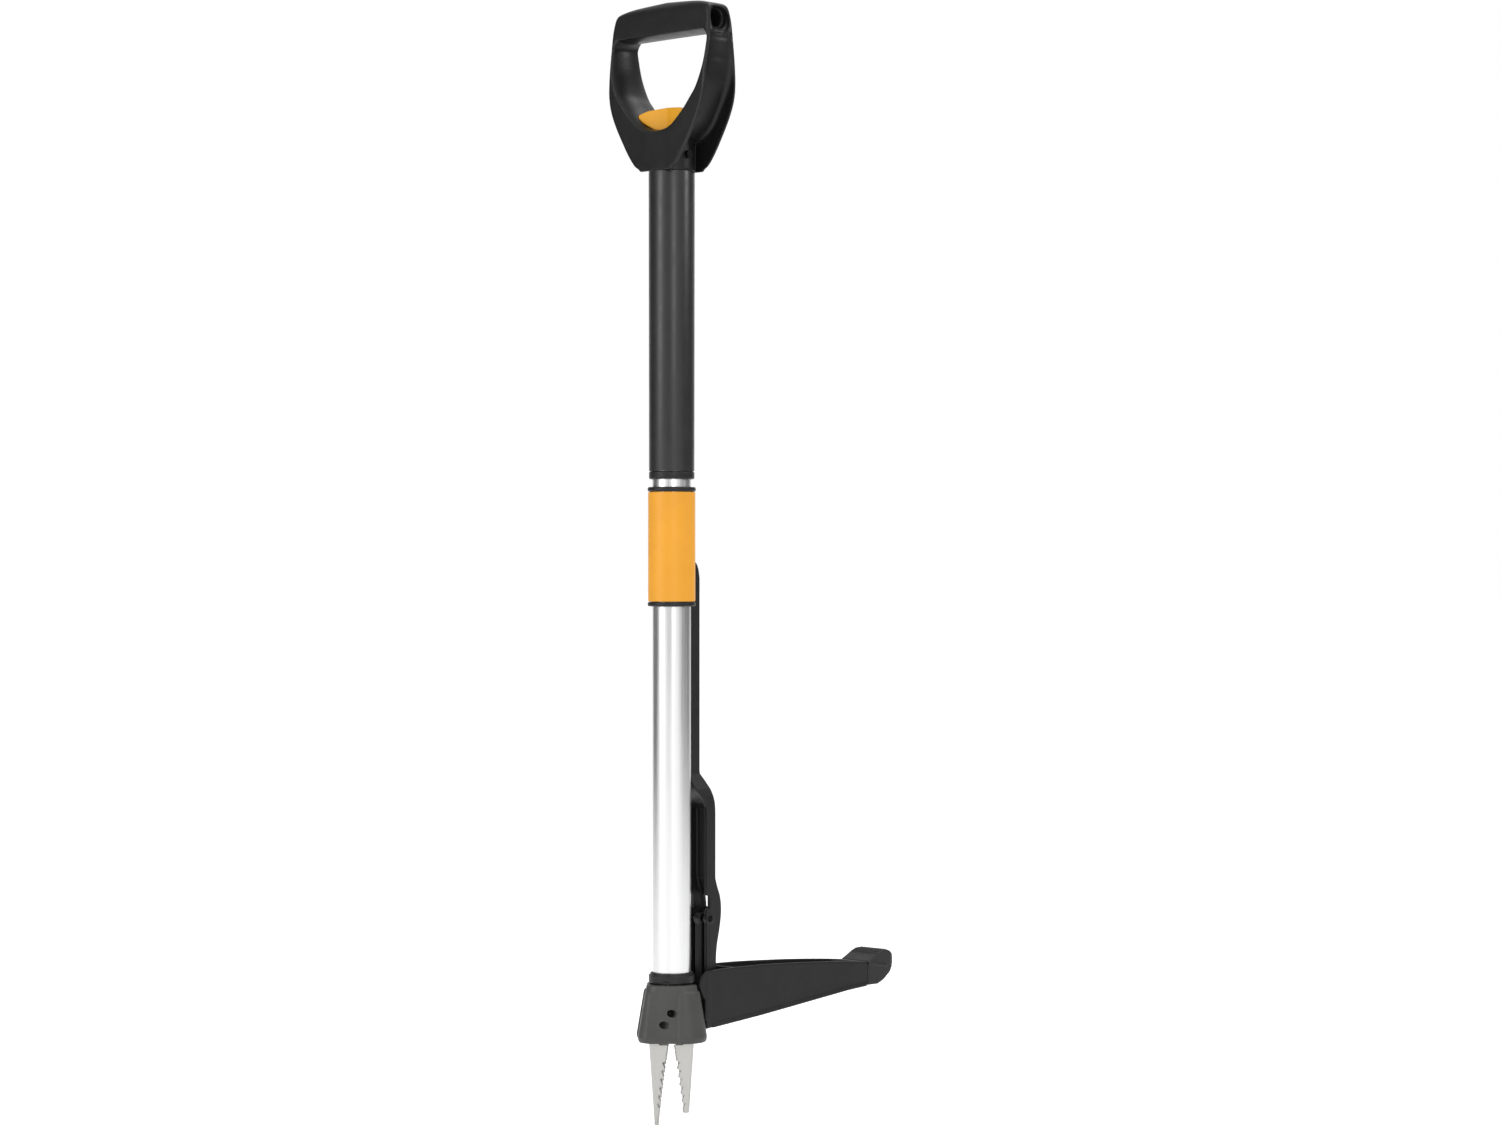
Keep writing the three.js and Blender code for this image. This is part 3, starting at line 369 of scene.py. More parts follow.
HANDLE = moulded("handle_plastic", (0.006, 0.006, 0.0063), 0.4, specular=0.24)
GRIP = moulded(
    "grip_plastic", (0.011, 0.011, 0.0115), 0.36, grain=2200, depth=0.00002, specular=0.4
)
BLACK = moulded("black_plastic", (0.008, 0.008, 0.0085), 0.44, specular=0.26)
PEDAL = moulded("pedal_plastic", (0.009, 0.0087, 0.0094), 0.5, grain=1100, specular=0.22)
HEAD = moulded(
    "head_plastic", (0.035, 0.035, 0.0337), 0.5, grain=900, depth=0.00006, specular=0.35
)
TREAD = moulded(
    "tread_rubber", (0.013, 0.013, 0.0135), 0.6, grain=1300, depth=0.00008, specular=0.28
)
ORANGE = moulded("sleeve_orange", (0.54, 0.235, 0.014), 0.42, specular=0.3, spread=0.04)
BUTTON = moulded("button_orange", (0.52, 0.24, 0.012), 0.5, specular=0.2, spread=0.04)
NYLON = moulded("natural_nylon", (0.62, 0.6, 0.53), 0.5, spread=0.05)
TUBE = drawn_metal("drawn_aluminium", (0.64, 0.64, 0.645), 0.33, (1, 1, 0.01))
CLAW = drawn_metal("claw_steel", (0.4, 0.395, 0.38), 0.42, (1, 1, 0.05), scale=1200)
ZINC = drawn_metal("zinc_plate", (0.4, 0.41, 0.42), 0.4, (1, 1, 1), scale=500)
DARK = drawn_metal("blackened_steel", (0.012, 0.012, 0.0125), 0.5, (1, 1, 1), scale=500)

# ---- handle ----

HANDLE_LOW, HANDLE_TOP = (corner[2] for corner in cad("d_handle"))
HANDLE_SIDE = [  # half width and height of the D's outside
    (20.5, HANDLE_LOW - 8),
    (20.8, HANDLE_LOW),
    (27.5, 776.5),
    (34.5, 785),
    (42, 796),
    (51, 811),
    (58, 826),
    (61.4, 840),
    (62.3, 858),
    (62.4, 892),
    (61.4, 905),
    (58.8, 913.5),
    (52, 916.8),
    (36, 919.4),
    (0, 921.6),
]
WINDOW_SIDE = [  # half width and height of the hand's opening
    (0, 810.2),
    (9, 811.4),
    (18, 815),
    (31, 826),
    (40, 836),
    (47, 845),
    (54, 862),
    (57, 880),
    (56.8, 886),
    (53.5, 889.6),
    (48, 890.3),
    (0, 890.5),
]
HANDLE_DEPTH = [  # height and half depth
    (HANDLE_LOW, 20.7),
    (785, 20.9),
    (800, 20.6),
    (815, 20.6),
    (835, 20.4),
    (855, 19.4),
    (875, 17.4),
    (892, 15.4),
    (905, 13.8),
    (914, 12.2),
    (919, 9.5),
    (HANDLE_TOP, 5),
]
SPOON_SIDE = [  # half width and height of the web's outer side, which the arms' hollows show
    (0, 797),
    (14, 799),
    (25, 804.5),
    (34, 812.5),
    (41, 823),
    (48, 835),
    (54.5, 849),
    (57, 860),
    (56.5, 868),
    (50, 876),
    (0, 876),
]
WEB = 2.8  # thickness of the wall round the hand's opening
FLANGE = 2.4  # thickness of the plates at the front and the back
ARM_BULGE = 3.8  # how far the arms' inner sides round away towards their edges
ARM_HALF = 19  # half depth at which they have rounded away that far
STEM_R = 20.5
STEM_TOP = 806
HAND_BAR = (-16.6, -80, 889), (16.6, 80, 940)  # a block that the D's outside trims
NARROW_BORE = (-8.6, -90, 896), (8.6, 90, 910.5)  # the hand bar's hollow, from end to end
WIDE_BORE = (-10.4, -90, 893.6), (10.4, 90, 912.2)
WIDE_BORE_START = 54  # half width from which the hollow is wider
MOUTH_START = 59.2  # half width from which it opens into an oval mouth
MOUTH_HALF = (10.8, 12.8)  # half depth and half height of the mouth
MOUTH_Z = 900
SEAT_SIDE = [(10.7, 801.5), (30.2, 813), (30.2, 850)]  # half width and height; the button's seat
SEAT_HALF = 13.4  # the seat's half depth
TUBE_FIT_R = 18.9  # bore of the sheath and of the handle's socket, over the upper tube
SOCKET_TOP = 796
RELEASE_HOLE_R = 3.2
RELEASE_HOLE_LOW = 780
GRIP_LOW_R = 20.15  # the sheath widens upwards from this radius
GRIP_GAP = 0.05  # from the sheath's top to the handle


def handle_field(x, y, z):
    deep, wide = np.abs(x), np.abs(y)
    shape = outline(mirrored(curve(HANDLE_SIDE)), y, z)
    half = along(z, curve(HANDLE_DEPTH))
    window = outline(mirrored(curve(WINDOW_SIDE)), y, z) - ARM_BULGE * (deep / ARM_HALF) ** 2
    plates = half - FLANGE - deep
    stem = both(rod(x, y, STEM_R), z - STEM_TOP, 4)
    spoon = either(outline(mirrored(curve(SPOON_SIDE)), y, z), window - WEB, 2)
    bar = block(x, y, z, *HAND_BAR, 3)
    solid = either(either(spoon, plates, 5), either(stem, bar, 1), 2)
    solid = both(solid, -window, 2.5)
    solid = both(solid, both(shape, deep - half, 3), 2)
    solid = both(solid, HANDLE_LOW - z, 0.4)
    mouth = (np.hypot(x / MOUTH_HALF[0], (z - MOUTH_Z) / MOUTH_HALF[1]) - 1) * MOUTH_HALF[0]
    mouth = both(mouth, MOUTH_START - wide, 1.5)
    bore = both(block(x, y, z, *WIDE_BORE, 8), WIDE_BORE_START - wide, 2)
    bore = either(bore, block(x, y, z, *NARROW_BORE, 6), 2)
    solid = cut(solid, either(bore, mouth, 3), 1.2)
    seat = outline(mirrored(SEAT_SIDE), y, z)
    solid = cut(solid, both(seat, deep - SEAT_HALF, 1), 1)
    solid = cut(solid, both(rod(x, y, TUBE_FIT_R), z - SOCKET_TOP, 0.5), 0.5)
    hole = both(rod(x, y, RELEASE_HOLE_R), span(z, RELEASE_HOLE_LOW, STEM_TOP), 0.5)
    return cut(solid, hole, 0.5)


BUTTON_SIDE = [  # half width and height
    (0, 807.6),
    (11, 807.8),
    (29.4, 818),
    (29.4, 823.4),
    (20, 826.6),
    (0, cad("release_button")[1][2]),
]
BUTTON_HALF = 5.4  # half depth at the crease in the middle
BUTTON_FLARE = 0.27  # growth of the half depth along the half width
BUTTON_SLANT = 0.97  # cosine of the faces' slant


def button_field(x, y, z):
    """A wedge seat whose front and back are creased in the middle."""
    faces = (np.abs(x) - BUTTON_HALF - BUTTON_FLARE * np.abs(y)) * BUTTON_SLANT
    return both(outline(mirrored(BUTTON_SIDE), y, z), faces, 1.2)


def build_handle():
    from_field("handle", "d_handle", handle_field, 0.8, "handle", HANDLE)
    from_field("button", "release_button", button_field, 0.5, "release", BUTTON)
    low, high = cad("grip_sheath")
    top = HANDLE_LOW - GRIP_GAP
    section = turned_section(TUBE_FIT_R, GRIP_LOW_R, low[2], top, 0.2, outer_high=high[0])
    fitted(turned_piece("grip", section), "handle", ["grip_sheath"], GRIP)
    from_lathe("grip_end", "grip_end_ring", 1.4, "handle", BLACK, bore=17.5)
    from_lathe("upper_tube_skin", "upper_tube", 0.3, "handle", TUBE, wall=1)


# ---- lower tube, sleeve, rod and link ----

ROD_LOW, ROD_TOP = (corner[2] for corner in cad("push_rod"))
ROD_HALF = 4.8  # half width of the slim bar
ROD_ROUND_FROM = ROD_TOP - ROD_HALF  # height at which the bar's round end starts
CHANNEL_HALF = 13  # half width of the channel below it
CHANNEL_WALL = 4.4
CHANNEL_WEB = 3
BAR_END = [(20.5, ROD_TOP), (26.5, 424.5), (29.6, 418.5), (31, 410)]  # x and z, as the next four
SHOULDER = [
    (31, 240),
    (31.2, 236),
    (34.5, 229.8),
    (38.5, 222.4),
    (41.2, 215),
    (42.5, 207.7),
    (42.8, 199.5),
]
BUMP = [
    (42.8, 142),
    (45.4, 134),
    (48.3, 126.7),
    (49.8, 118),
    (49.7, 108),
    (48, 97),
    (44.9, 83),
    (43.6, 72),
]
ROD_SIDE = [  # down the rod's outer side, and up the side that faces the tube
    (18.9, ROD_TOP),
    *curve(BAR_END),
    *curve(SHOULDER),
    *curve(BUMP),
    (43.3, ROD_LOW),
    (17.6, ROD_LOW),
    (17.6, 384.5),
    (18.9, 386.5),
]
CHANNEL_EDGE = [  # the flanges' free edges
    (31.5, ROD_LOW - 5),
    (31.5, 198),
    (31.2, 206),
    (28.5, 212),
    (24, 217.5),
    (20, 222.5),
    (17, 228),
]
HOLLOW_TOP = [(18, 223), (28, 214.5), (36, 207), (50, 198)]  # x and z of the channel's inner end
ROD_WIDTH = [  # height and half width
    (ROD_LOW, CHANNEL_HALF),
    (203, CHANNEL_HALF),
    (210, 12.8),
    (216, 12.2),
    (222.4, 10.8),
    (229.8, 8),
    (236, 5.2),
    (240, ROD_HALF),
    (ROD_TOP, ROD_HALF),
]
FLANGE_LINE_X = (34.2, 35.4)  # the groove along the outside of each flange
FLANGE_LINE_Z = (56, 196)
FLANGE_WINDOW = (27, -20, 115.4), (35.6, 20, 127)
WEB_WINDOW = (40, -6.6, 115.4), (60, 6.6, 127)
UPPER_PIN = (35, 106.5)  # x and z of the link's two pins
LOWER_PIN = (35, 32.5)
LINK_BAR = (32, -4, 34), (38, 4, 105)
LINK_HALF = 4


def rod_field(x, y, z):
    side = outline(ROD_SIDE, x, z)
    wide = np.abs(y) - along(z, ROD_WIDTH)
    round_end = np.hypot(y, np.maximum(z - ROD_ROUND_FROM, 0)) - ROD_HALF
    wide = np.where(z > ROD_ROUND_FROM, round_end, wide)
    solid = both(side, wide, 2.2)
    free = outline([(0, ROD_LOW - 5), *curve(CHANNEL_EDGE), (0, 228)], x, z)
    solid = cut(solid, free, 1.2)
    hollow = both(side + CHANNEL_WEB, np.abs(y) - CHANNEL_HALF + CHANNEL_WALL, 2)
    hollow = both(hollow, z - along(x, HOLLOW_TOP), 2)
    solid = cut(solid, hollow, 1)
    line = both(np.abs(np.abs(y) - CHANNEL_HALF) - 0.9, span(x, *FLANGE_LINE_X), 0.5)
    solid = cut(solid, both(line, span(z, *FLANGE_LINE_Z), 1), 0.4)
    for window in (FLANGE_WINDOW, WEB_WINDOW):
        solid = cut(solid, block(x, y, z, *window, 1), 0.6)
    knuckle = both(rod(x, z, 4.4, UPPER_PIN), span(np.abs(y), 8, 13.3), 1)
    solid = either(solid, knuckle, 1)
    return cut(solid, rod(x, z, 2.9, UPPER_PIN), 0.5)


def link_field(x, y, z):
    bar = block(x, y, z, *LINK_BAR, 1.5)
    eyes = either(rod(x, z, 4.6, UPPER_PIN), rod(x, z, 4.6, LOWER_PIN), 1)
    holes = either(rod(x, z, 2.8, UPPER_PIN), rod(x, z, 2.8, LOWER_PIN), 1)
    return cut(either(bar, both(eyes, np.abs(y) - LINK_HALF, 1), 2), holes, 0.6)


def rod_slot(x, y, z):
    """The groove for the rod in the sleeve's side, with a round top."""
    top = ROD_ROUND_FROM + 0.4
    wide = np.hypot(y, np.maximum(z - top, 0)) - ROD_HALF - 0.5
    return both(wide, 5 - x, 1)


def sleeve_field(x, y, z):
    low, high = cad("slide_sleeve")
    tube = both(shell(x, y, 19.95, 1.05), span(z, low[2], high[2]), 0.8)
    return cut(tube, rod_slot(x, y, z), 0.9)


def low_ring_field(x, y, z):
    low, high = cad("sleeve_ring_low")
    band = both(shell(x, y, 19.4, 2), span(z, low[2], high[2]), 1.6)
    return cut(band, rod_slot(x, y, z), 0.6)


def build_shaft():
    from_lathe("tube", "lower_tube", 0.3, "shaft", TUBE, wall=1.4, segments=160)
    from_field("sleeve", "slide_sleeve", sleeve_field, 0.55, "slider", ORANGE)
    from_lathe("ring_top", "sleeve_ring_top", 1.3, "slider", BLACK, bore=17.4)
    from_field("ring_low", "sleeve_ring_low", low_ring_field, 0.4, "slider", BLACK)
    from_field("rod", "push_rod", rod_field, 0.55, "slider", BLACK)
    from_field("link", "link_bar", link_field, 0.4, "link", BLACK)


# ---- claws ----

CLAW_R = 27  # the claws' outer corners, from the tube's axis
CLAW_T = 2
CLAW_BEND = 1.3  # sets how round the fold is
CLAW_LEAN = 0.095  # how far the claws lean inwards, per millimetre below the block
CLAW_WIDEST = (-1.5, 11.3)  # height and half width, as the next two
LONG_TIP = (-75.5, 0.9)
FIXED_TIP = (-62.5, 2.6)
TANG_HALF = 6.36  # half width of the part inside the block
TEETH_Z = (-58, -16)
TOOTH_PITCH = 7.4
TOOTH_DEPTH = 1.7
TOOTH_STEEP, TOOTH_SLOPE = 0.19, 0.6  # the two flanks, as parts of the pitch
CLAW_PLAY = 0.35  # between a claw and its socket
SOCKET_HALF = 6.7  # half width of a fixed claw's socket
FIXED_CLAWS = {  # turn about the tube, and height of the socket's top
    "right": (math.pi / 2, 28),
    "back": (math.pi, 12),
    "left": (1.5 * math.pi, 28),
}


def claw_field(x, y, z, tip=LONG_TIP, grow=0.0, teeth=True):
    """An angle of sheet steel at -X that tapers to its tip, with saw teeth on both edges."""
    wide = np.sqrt(y * y + CLAW_BEND * CLAW_BEND) - CLAW_BEND
    deep = x + CLAW_R - CLAW_LEAN * np.maximum(-z, 0)
    sheet = both((wide - deep) * SQ, (deep - wide) * SQ - CLAW_T, 0.3) - grow
    top, leg = CLAW_WIDEST
    tip_z, tip_half = tip
    edge = tip_half + (leg - tip_half) * (z - tip_z) / (top - tip_z)
    edge = np.where(z > top, TANG_HALF, edge)
    if teeth:
        low, high = TEETH_Z
        phase = ((high - z) / TOOTH_PITCH) % 1
        slope = np.maximum(1 - (phase - TOOTH_STEEP) / TOOTH_SLOPE, 0)
        notch = np.where(phase < TOOTH_STEEP, phase / TOOTH_STEEP, slope)
        edge = edge - np.where((z < high) & (z > low), TOOTH_DEPTH * notch, 0)
    return both(both(sheet, np.abs(y) - edge - grow, 0.5), tip_z - z, 0.5)


def turned_about(angle, x, y):
    """The point that a turn about Z by this angle brings to x, y."""
    c, s = math.cos(angle), math.sin(angle)
    return x * c + y * s, y * c - x * s


def blade(node, turn, tip):
    """The field of one claw, which ends at the top of its CAD node."""
    top = cad(node)[1][2]

    def field(x, y, z):
        tx, ty = turned_about(turn, x, y)
        return both(claw_field(tx, ty, z, tip), z - top, 0.5)

    return field


# ---- head block and collar ----

HEAD_TOP = cad("head_block")[1][2]
HEAD_HALF = [(0, 31.0), (5, 31.5), (HEAD_TOP, 23.9)]  # height and half width of the block
HEAD_CORNER = [(0, 19), (HEAD_TOP, 14)]  # height and radius of its upright edges
LOBE_TOP = 45.5
PANEL_DEPTH = 1.8
PANEL_START = [(0, -6), (50, -7.5)]  # height and place along the side
PANEL_END = [(0, 21.6), (45, 18.2)]
HINGE = (-17.5, 26.5)  # x and z of the pedal's hinge
CLAW_PIN = (-23.6, 16.5)
PIN_HOLE_R = 3.2
PIN_HOLE_START = 7  # half width beyond which the holes are cut
PILLAR_ROOM = (-8.3, -9.5, 4.5), (16.3, 9.5, 45)
ARMS_ROOM = [(-19, 20.9), (-12, 6), (26, 6), (26, 40), (-12, 40), (-17.5, 32.1)]  # x and z
CARRIER_ROOM = [(-32.1, 4.5), (-12, 4.5), (-12, 32), (-27, 30), (-28.4, 28), (-30.9, 17)]
LEVER_ROOM_HALF = 20.7
TONGUE = (16.3, -9.2, 0), (31, 9.2, 14)


def head_outside(x, y, z):
    """A tapered square set corner-on, with a lobe at each corner and a sunk panel on each side."""
    u, v = (x - y) * SQ, (x + y) * SQ
    half, r = along(z, HEAD_HALF), along(z, HEAD_CORNER)
    qu, qv = np.abs(u) - half + r, np.abs(v) - half + r
    square = np.hypot(np.maximum(qu, 0), np.maximum(qv, 0)) + np.minimum(np.maximum(qu, qv), 0) - r
    lobes = both(square, span(z, 0, LOBE_TOP), 3)
    start, end = along(z, PANEL_START), along(z, PANEL_END)
    for across, facing in ((u, -v), (v, -u), (-u, v), (-v, u)):
        panel = both(span(-across, start, end), half - PANEL_DEPTH - facing, 2.5)
        lobes = cut(lobes, panel, 2.5)
    core = both(square + PANEL_DEPTH, span(z, 1.2, HEAD_TOP), 1.6)
    return either(lobes, core, 0.8)


def head_rooms(x, z, wide):
    """The rooms for the parts of the pedal that turn about the hinge, but for the pillar's."""
    barrel = both(rod(x, z, 5.6, HINGE), wide - 13, 0.5)
    arms = both(outline(ARMS_ROOM, x, z), span(wide, 9.2, 13), 0.5)
    carrier = both(outline(CARRIER_ROOM, x, z), wide - 7.3, 0.5)
    claw = both(both((wide - x - 33.4) * SQ, wide - 12.5, 1), both(x + 12, z - 6.5, 0.5), 0.5)
    lever = both(both(17.6 - x, wide - LEVER_ROOM_HALF, 1), 4.5 - z, 1)
    horns = both(both(8 - x, wide - LEVER_ROOM_HALF, 1), 30 - z, 1)
    walls = both(both(19 - x, wide - LEVER_ROOM_HALF, 1), z - 10, 1)
    return barrel, arms, carrier, claw, lever, horns, walls


def head_field(x, y, z):
    wide = np.abs(y)
    outside = head_outside(x, y, z)
    solid = cut(outside, both(rod(x, y, 17.4), 39.5 - z, 0.5), 0.6)
    for room in (block(x, y, z, *PILLAR_ROOM, 0.5), *head_rooms(x, z, wide)):
        solid = cut(solid, room, 0.8)
    tongue = both(block(x, y, z, *TONGUE, 1), outside, 0.5)
    solid = both(either(solid, tongue, 0.5), x - 31, 1)
    for turn, socket_top in FIXED_CLAWS.values():
        tx, ty = turned_about(turn, x, y)
        socket = claw_field(tx, ty, z, grow=CLAW_PLAY, teeth=False)
        socket = both(socket, z - socket_top, 0.5)
        solid = cut(solid, both(socket, np.abs(ty) - SOCKET_HALF, 0.5), 0.4)
    for pin in (HINGE, CLAW_PIN):
        solid = cut(solid, both(rod(x, z, PIN_HOLE_R, pin), PIN_HOLE_START - wide, 0.5), 0.7)
    return solid


def collar_field(x, y, z):
    """A clamp ring with a thin lip, and with a slot between it and the block in front."""
    low, high = (corner[2] for corner in cad("head_collar"))
    ring = both(shell(x, y, 18.95, 1.55), span(z, low, high), 2.2)
    ring = cut(ring, both(high - 1.8 - z, 18.9 - np.hypot(x, y), 0.8), 0.6)
    ring = either(ring, both(shell(x, y, 18.2, 0.8), span(z, high - 4, high), 0.8), 0.8)
    u, v = (x - y) * SQ, (x + y) * SQ
    slot = both(both(span(u, -19, -2), v + 18.6, 1), span(z, low - 1, low + 3), 0.6)
    return cut(ring, slot, 0.5)


def build_head():
    from_field("head", "head_block", head_field, 0.5, "shaft", HEAD)
    from_field("collar", "head_collar", collar_field, 0.4, "shaft", BLACK)
    field = blade("claw_front", 0, LONG_TIP)
    from_field("claw_long", "claw_front", field, 0.4, "pedal", CLAW)
    for side, (turn, _) in FIXED_CLAWS.items():
        field = blade("claw_" + side, turn, FIXED_TIP)
        from_field("claw_blade_" + side, "claw_" + side, field, 0.4, "shaft", CLAW)


# ---- pedal ----

PEDAL_WALL = 2.7
PEDAL_START = 24
PAD_START = 236
PEDAL_BOTTOM = [(PEDAL_START, 9.3), (95, 16), (155, 22.6), (209, 28.6), (PAD_START, 30.6)]
PEDAL_RIM = [  # x and z, as for the bottom and the next six
    (PEDAL_START, 60.5),
    (45, 61.6),
    (90, 61.4),
    (130, 60),
    (170, 58),
    (205, 55.6),
    (PAD_START, 53),
]
POCKET_FLOOR = [(61, 15.6), (95, 19), (155, 25.6), (196, 30.4), (224, 53.5), (240, 70)]
HORN_SIDE = [
    (28, 30),
    (28, 60.7),
    (24, 60.3),
    (20, 57.4),
    (16.4, 52.6),
    (15.2, 48.5),
    (16.4, 45),
    (20, 38),
]
ARM_SIDE = [
    (-17.5, 31.5),
    (-22, 28),
    (-22, 25),
    (-17.5, 21.5),
    (-8, 14),
    (27.5, 14),
    (27.5, 36),
    (20, 36),
    (16, 31.5),
    (-6, 33.5),
]
CARRIER_SIDE = [
    (-28.2, 6),
    (-19, 6),
    (-19, 20),
    (-15, 28),
    (-26, 28),
    (-27.6, 26),
    (-28.4, 15),
]
LUG_SIDE = [(30.5, 26.5), (44, 13.5), (56, 14.5), (56, 26), (42, 38.6), (30.5, 38.6)]
PEDAL_HALF = [(0, 20), (60, 20), (PAD_START, 17.5), (300, 16.6)]  # x and half width
ROOT_HALVES = (17.3, 20)  # half widths between which the lever's walls reach towards the tube
ARM_HALVES = (9.5, 12.5)
LUG_HALVES = (4.7, 7.6)
ROOT_PLATE = (PEDAL_START, -19, 14), (27.5, 19, 36)
TENON = (PAD_START - 3, -8, 35), (252, 8, 48)  # holds the tread
TENON_ROOM = (230, -8.3, 34.7), (252.3, 8.3, 48.3)


def pedal_field(x, y, z):
    wide = np.abs(y)
    half = along(x, PEDAL_HALF)
    rim, floor = along(x, curve(PEDAL_RIM)), along(x, PEDAL_BOTTOM)
    trough = both(both(z - rim, floor - z, 1.2), span(x, PEDAL_START, PAD_START), 0.6)
    body = both(trough, wide - half, 1.4)
    lip = both(span(z, floor, floor + 2.8), span(x, 32, PAD_START - 2), 0.8)
    body = either(body, both(lip, wide - half - 1.4, 0.8), 0.8)
    inside = wide - half + PEDAL_WALL
    opening = both(both(span(x, 20, 57.5), 15.4 - z, 1), inside, 1.5)
    opening = either(opening, both(both(span(x, 20, 44), inside, 1), z - 30, 1), 0.5)
    pocket = both(both(span(x, 61, 227), along(x, POCKET_FLOOR) - z, 4), inside, 2)
    body = cut(cut(body, opening, 0.8), pocket, 0.8)
    horn = both(outline(HORN_SIDE, x, z), span(wide, *ROOT_HALVES), 1)
    cheek = both(both(span(x, 22.4, 30), span(z, 17, 50), 1), span(wide, *ROOT_HALVES), 1)
    plate = both(block(x, y, z, *ROOT_PLATE, 0.6), ARM_HALVES[0] - wide, 0.6)
    arm = both(outline(ARM_SIDE, x, z), span(wide, *ARM_HALVES), 0.6)
    barrel = both(rod(x, z, 5, HINGE), wide - ARM_HALVES[1], 0.6)
    carrier = both(outline(CARRIER_SIDE, x, z), wide - 6.9, 0.6)
    lug = both(outline(LUG_SIDE, x, z), span(wide, *LUG_HALVES), 0.6)
    tenon = block(x, y, z, *TENON, 0.6)
    for part in (horn, cheek, plate, arm, barrel, carrier, lug, tenon):
        body = either(body, part, 0.8)
    body = cut(body, rod(x, z, 2.8, HINGE), 0.4)
    slot = np.hypot((x - LOWER_PIN[0]) / 1.16, z - LOWER_PIN[1]) - 3.1
    body = cut(body, both(slot, wide - 9, 0.4), 0.4)
    claw = both(claw_field(x, y, z, grow=CLAW_PLAY, teeth=False), z - 22.4, 0.4)
    return cut(body, claw, 0.3)


TREAD_SIDE = [  # x and z
    (PAD_START + 0.3, 30.8),
    (250, 31),
    (258, 34),
    (269, 41.5),
    (277, 48),
    (280, 51.5),
    (279.4, 54),
    (275, 57.6),
    (268, 61.2),
    (262, 63),
    (256, 62.6),
    (250, 60),
    (243, 56.4),
    (PAD_START + 0.3, 53.4),
]
NOSE_START = 262
NOSE_R = 17.9
TREAD_HALF = [(PAD_START, 17.5), (250, 18.3), (NOSE_START, 17.6), (300, 16.6)]  # x, half width
TREAD_CENTRE = (254, 44)  # the ribs lie round this x and z
TREAD_RIBS = 17  # in half a turn
RIBBED_FROM, RIBBED_TO = -0.75, 2.1  # angles about the centre
RIB_DEPTH = 1.2
RIBBED_HALF = 16.5
RAIL = [(236, 51.5), (266, 47)]  # x and z of the raised line on the tread's sides


def tread_field(x, y, z):
    """The foot's tread, ribbed across its top and round its nose."""
    side = outline(TREAD_SIDE, x, z)
    wide = np.abs(y)
    angle = np.arctan2(z - TREAD_CENTRE[1], x - TREAD_CENTRE[0])
    wave = 0.5 + 0.5 * np.cos(angle * 2 * TREAD_RIBS)
    ribbed = np.clip((angle - RIBBED_FROM) / 0.2, 0, 1) * np.clip((RIBBED_TO - angle) / 0.2, 0, 1)
    middle = np.clip((RIBBED_HALF - wide) / 1.5, 0, 1)
    grooves = RIB_DEPTH * wave**3 * ribbed * middle
    crest = 0.35 * np.abs(np.sin(y * 0.9)) * ribbed
    nose = rod(np.maximum(x - NOSE_START, 0), y, NOSE_R)
    flank = wide - along(x, TREAD_HALF)
    plan = np.where(x > NOSE_START, np.maximum(nose, flank), flank)
    solid = both(side + grooves + crest, plan, 2.6)
    rail = both(np.abs(wide - 18.3) - 0.7, np.abs(z - along(x, RAIL)) - 0.9, 0.6)
    solid = either(solid, both(rail, span(x, 237, NOSE_START), 1), 1.5)
    return cut(solid, block(x, y, z, *TENON_ROOM, 0.5), 0.4)


def build_pedal():
    from_field("pedal_arm", "pedal_lever", pedal_field, 0.75, "pedal", PEDAL)
    from_field("tread", "tread_pad", tread_field, 0.4, "pedal", TREAD)


# ---- small CAD nodes that stay ----

KEPT = {
    NYLON: ["tube_top_cap", "sleeve_liner", "lock_collet"],
    HEAD: ["tube_plug", "lock_carrier"],
    DARK: ["handle_screw_right", "handle_screw_left", "hinge_pin", "link_pin_top"],
    ZINC: [
        *("claw_pin_" + side for side in ("right", "back", "left", "front")),
        *("plug_screw_right", "plug_screw_left", "rod_screw_1", "rod_screw_2", "link_pin_low"),
        *("lock_cone", "cone_nut", "release_rod", "rod_clip", "release_spring"),
    ],
}


def finish_kept_nodes():
    """Gives each CAD node that stays its material, and all but the spring rounded edges."""
    for material, names in KEPT.items():
        for name in names:
            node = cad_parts[name]
            node.data.materials.clear()
            node.data.materials.append(material)
            if name == "release_spring":
                continue
            bevel = node.modifiers.new("rounded", "BEVEL")
            bevel.width = 0.25 * MM
            bevel.segments = 2
            bevel.limit_method = "ANGLE"
            bevel.angle_limit = math.radians(40)


# ---- stage, light and camera: metres, watts ----

VIEW = Vector((SQ, SQ, 0))  # the way the camera looks
RIGHT = Vector((SQ, -SQ, 0))
CAMERA_AT = Vector((-2.2475, -2.3459, 0.4245))
FLOOR_REACH = 40
CARD_MIDDLE = 0.5  # height


def build_camera():
    data = bpy.data.cameras.new("camera")
    data.lens = 87.7
    data.sensor_width = 36
    data.clip_end = 100
    camera = bpy.data.objects.new("camera", data)
    camera.location = CAMERA_AT
    camera.rotation_mode = "QUATERNION"
    camera.rotation_quaternion = VIEW.to_track_quat("-Z", "Y")
    bpy.context.scene.collection.objects.link(camera)
    bpy.context.scene.camera = camera


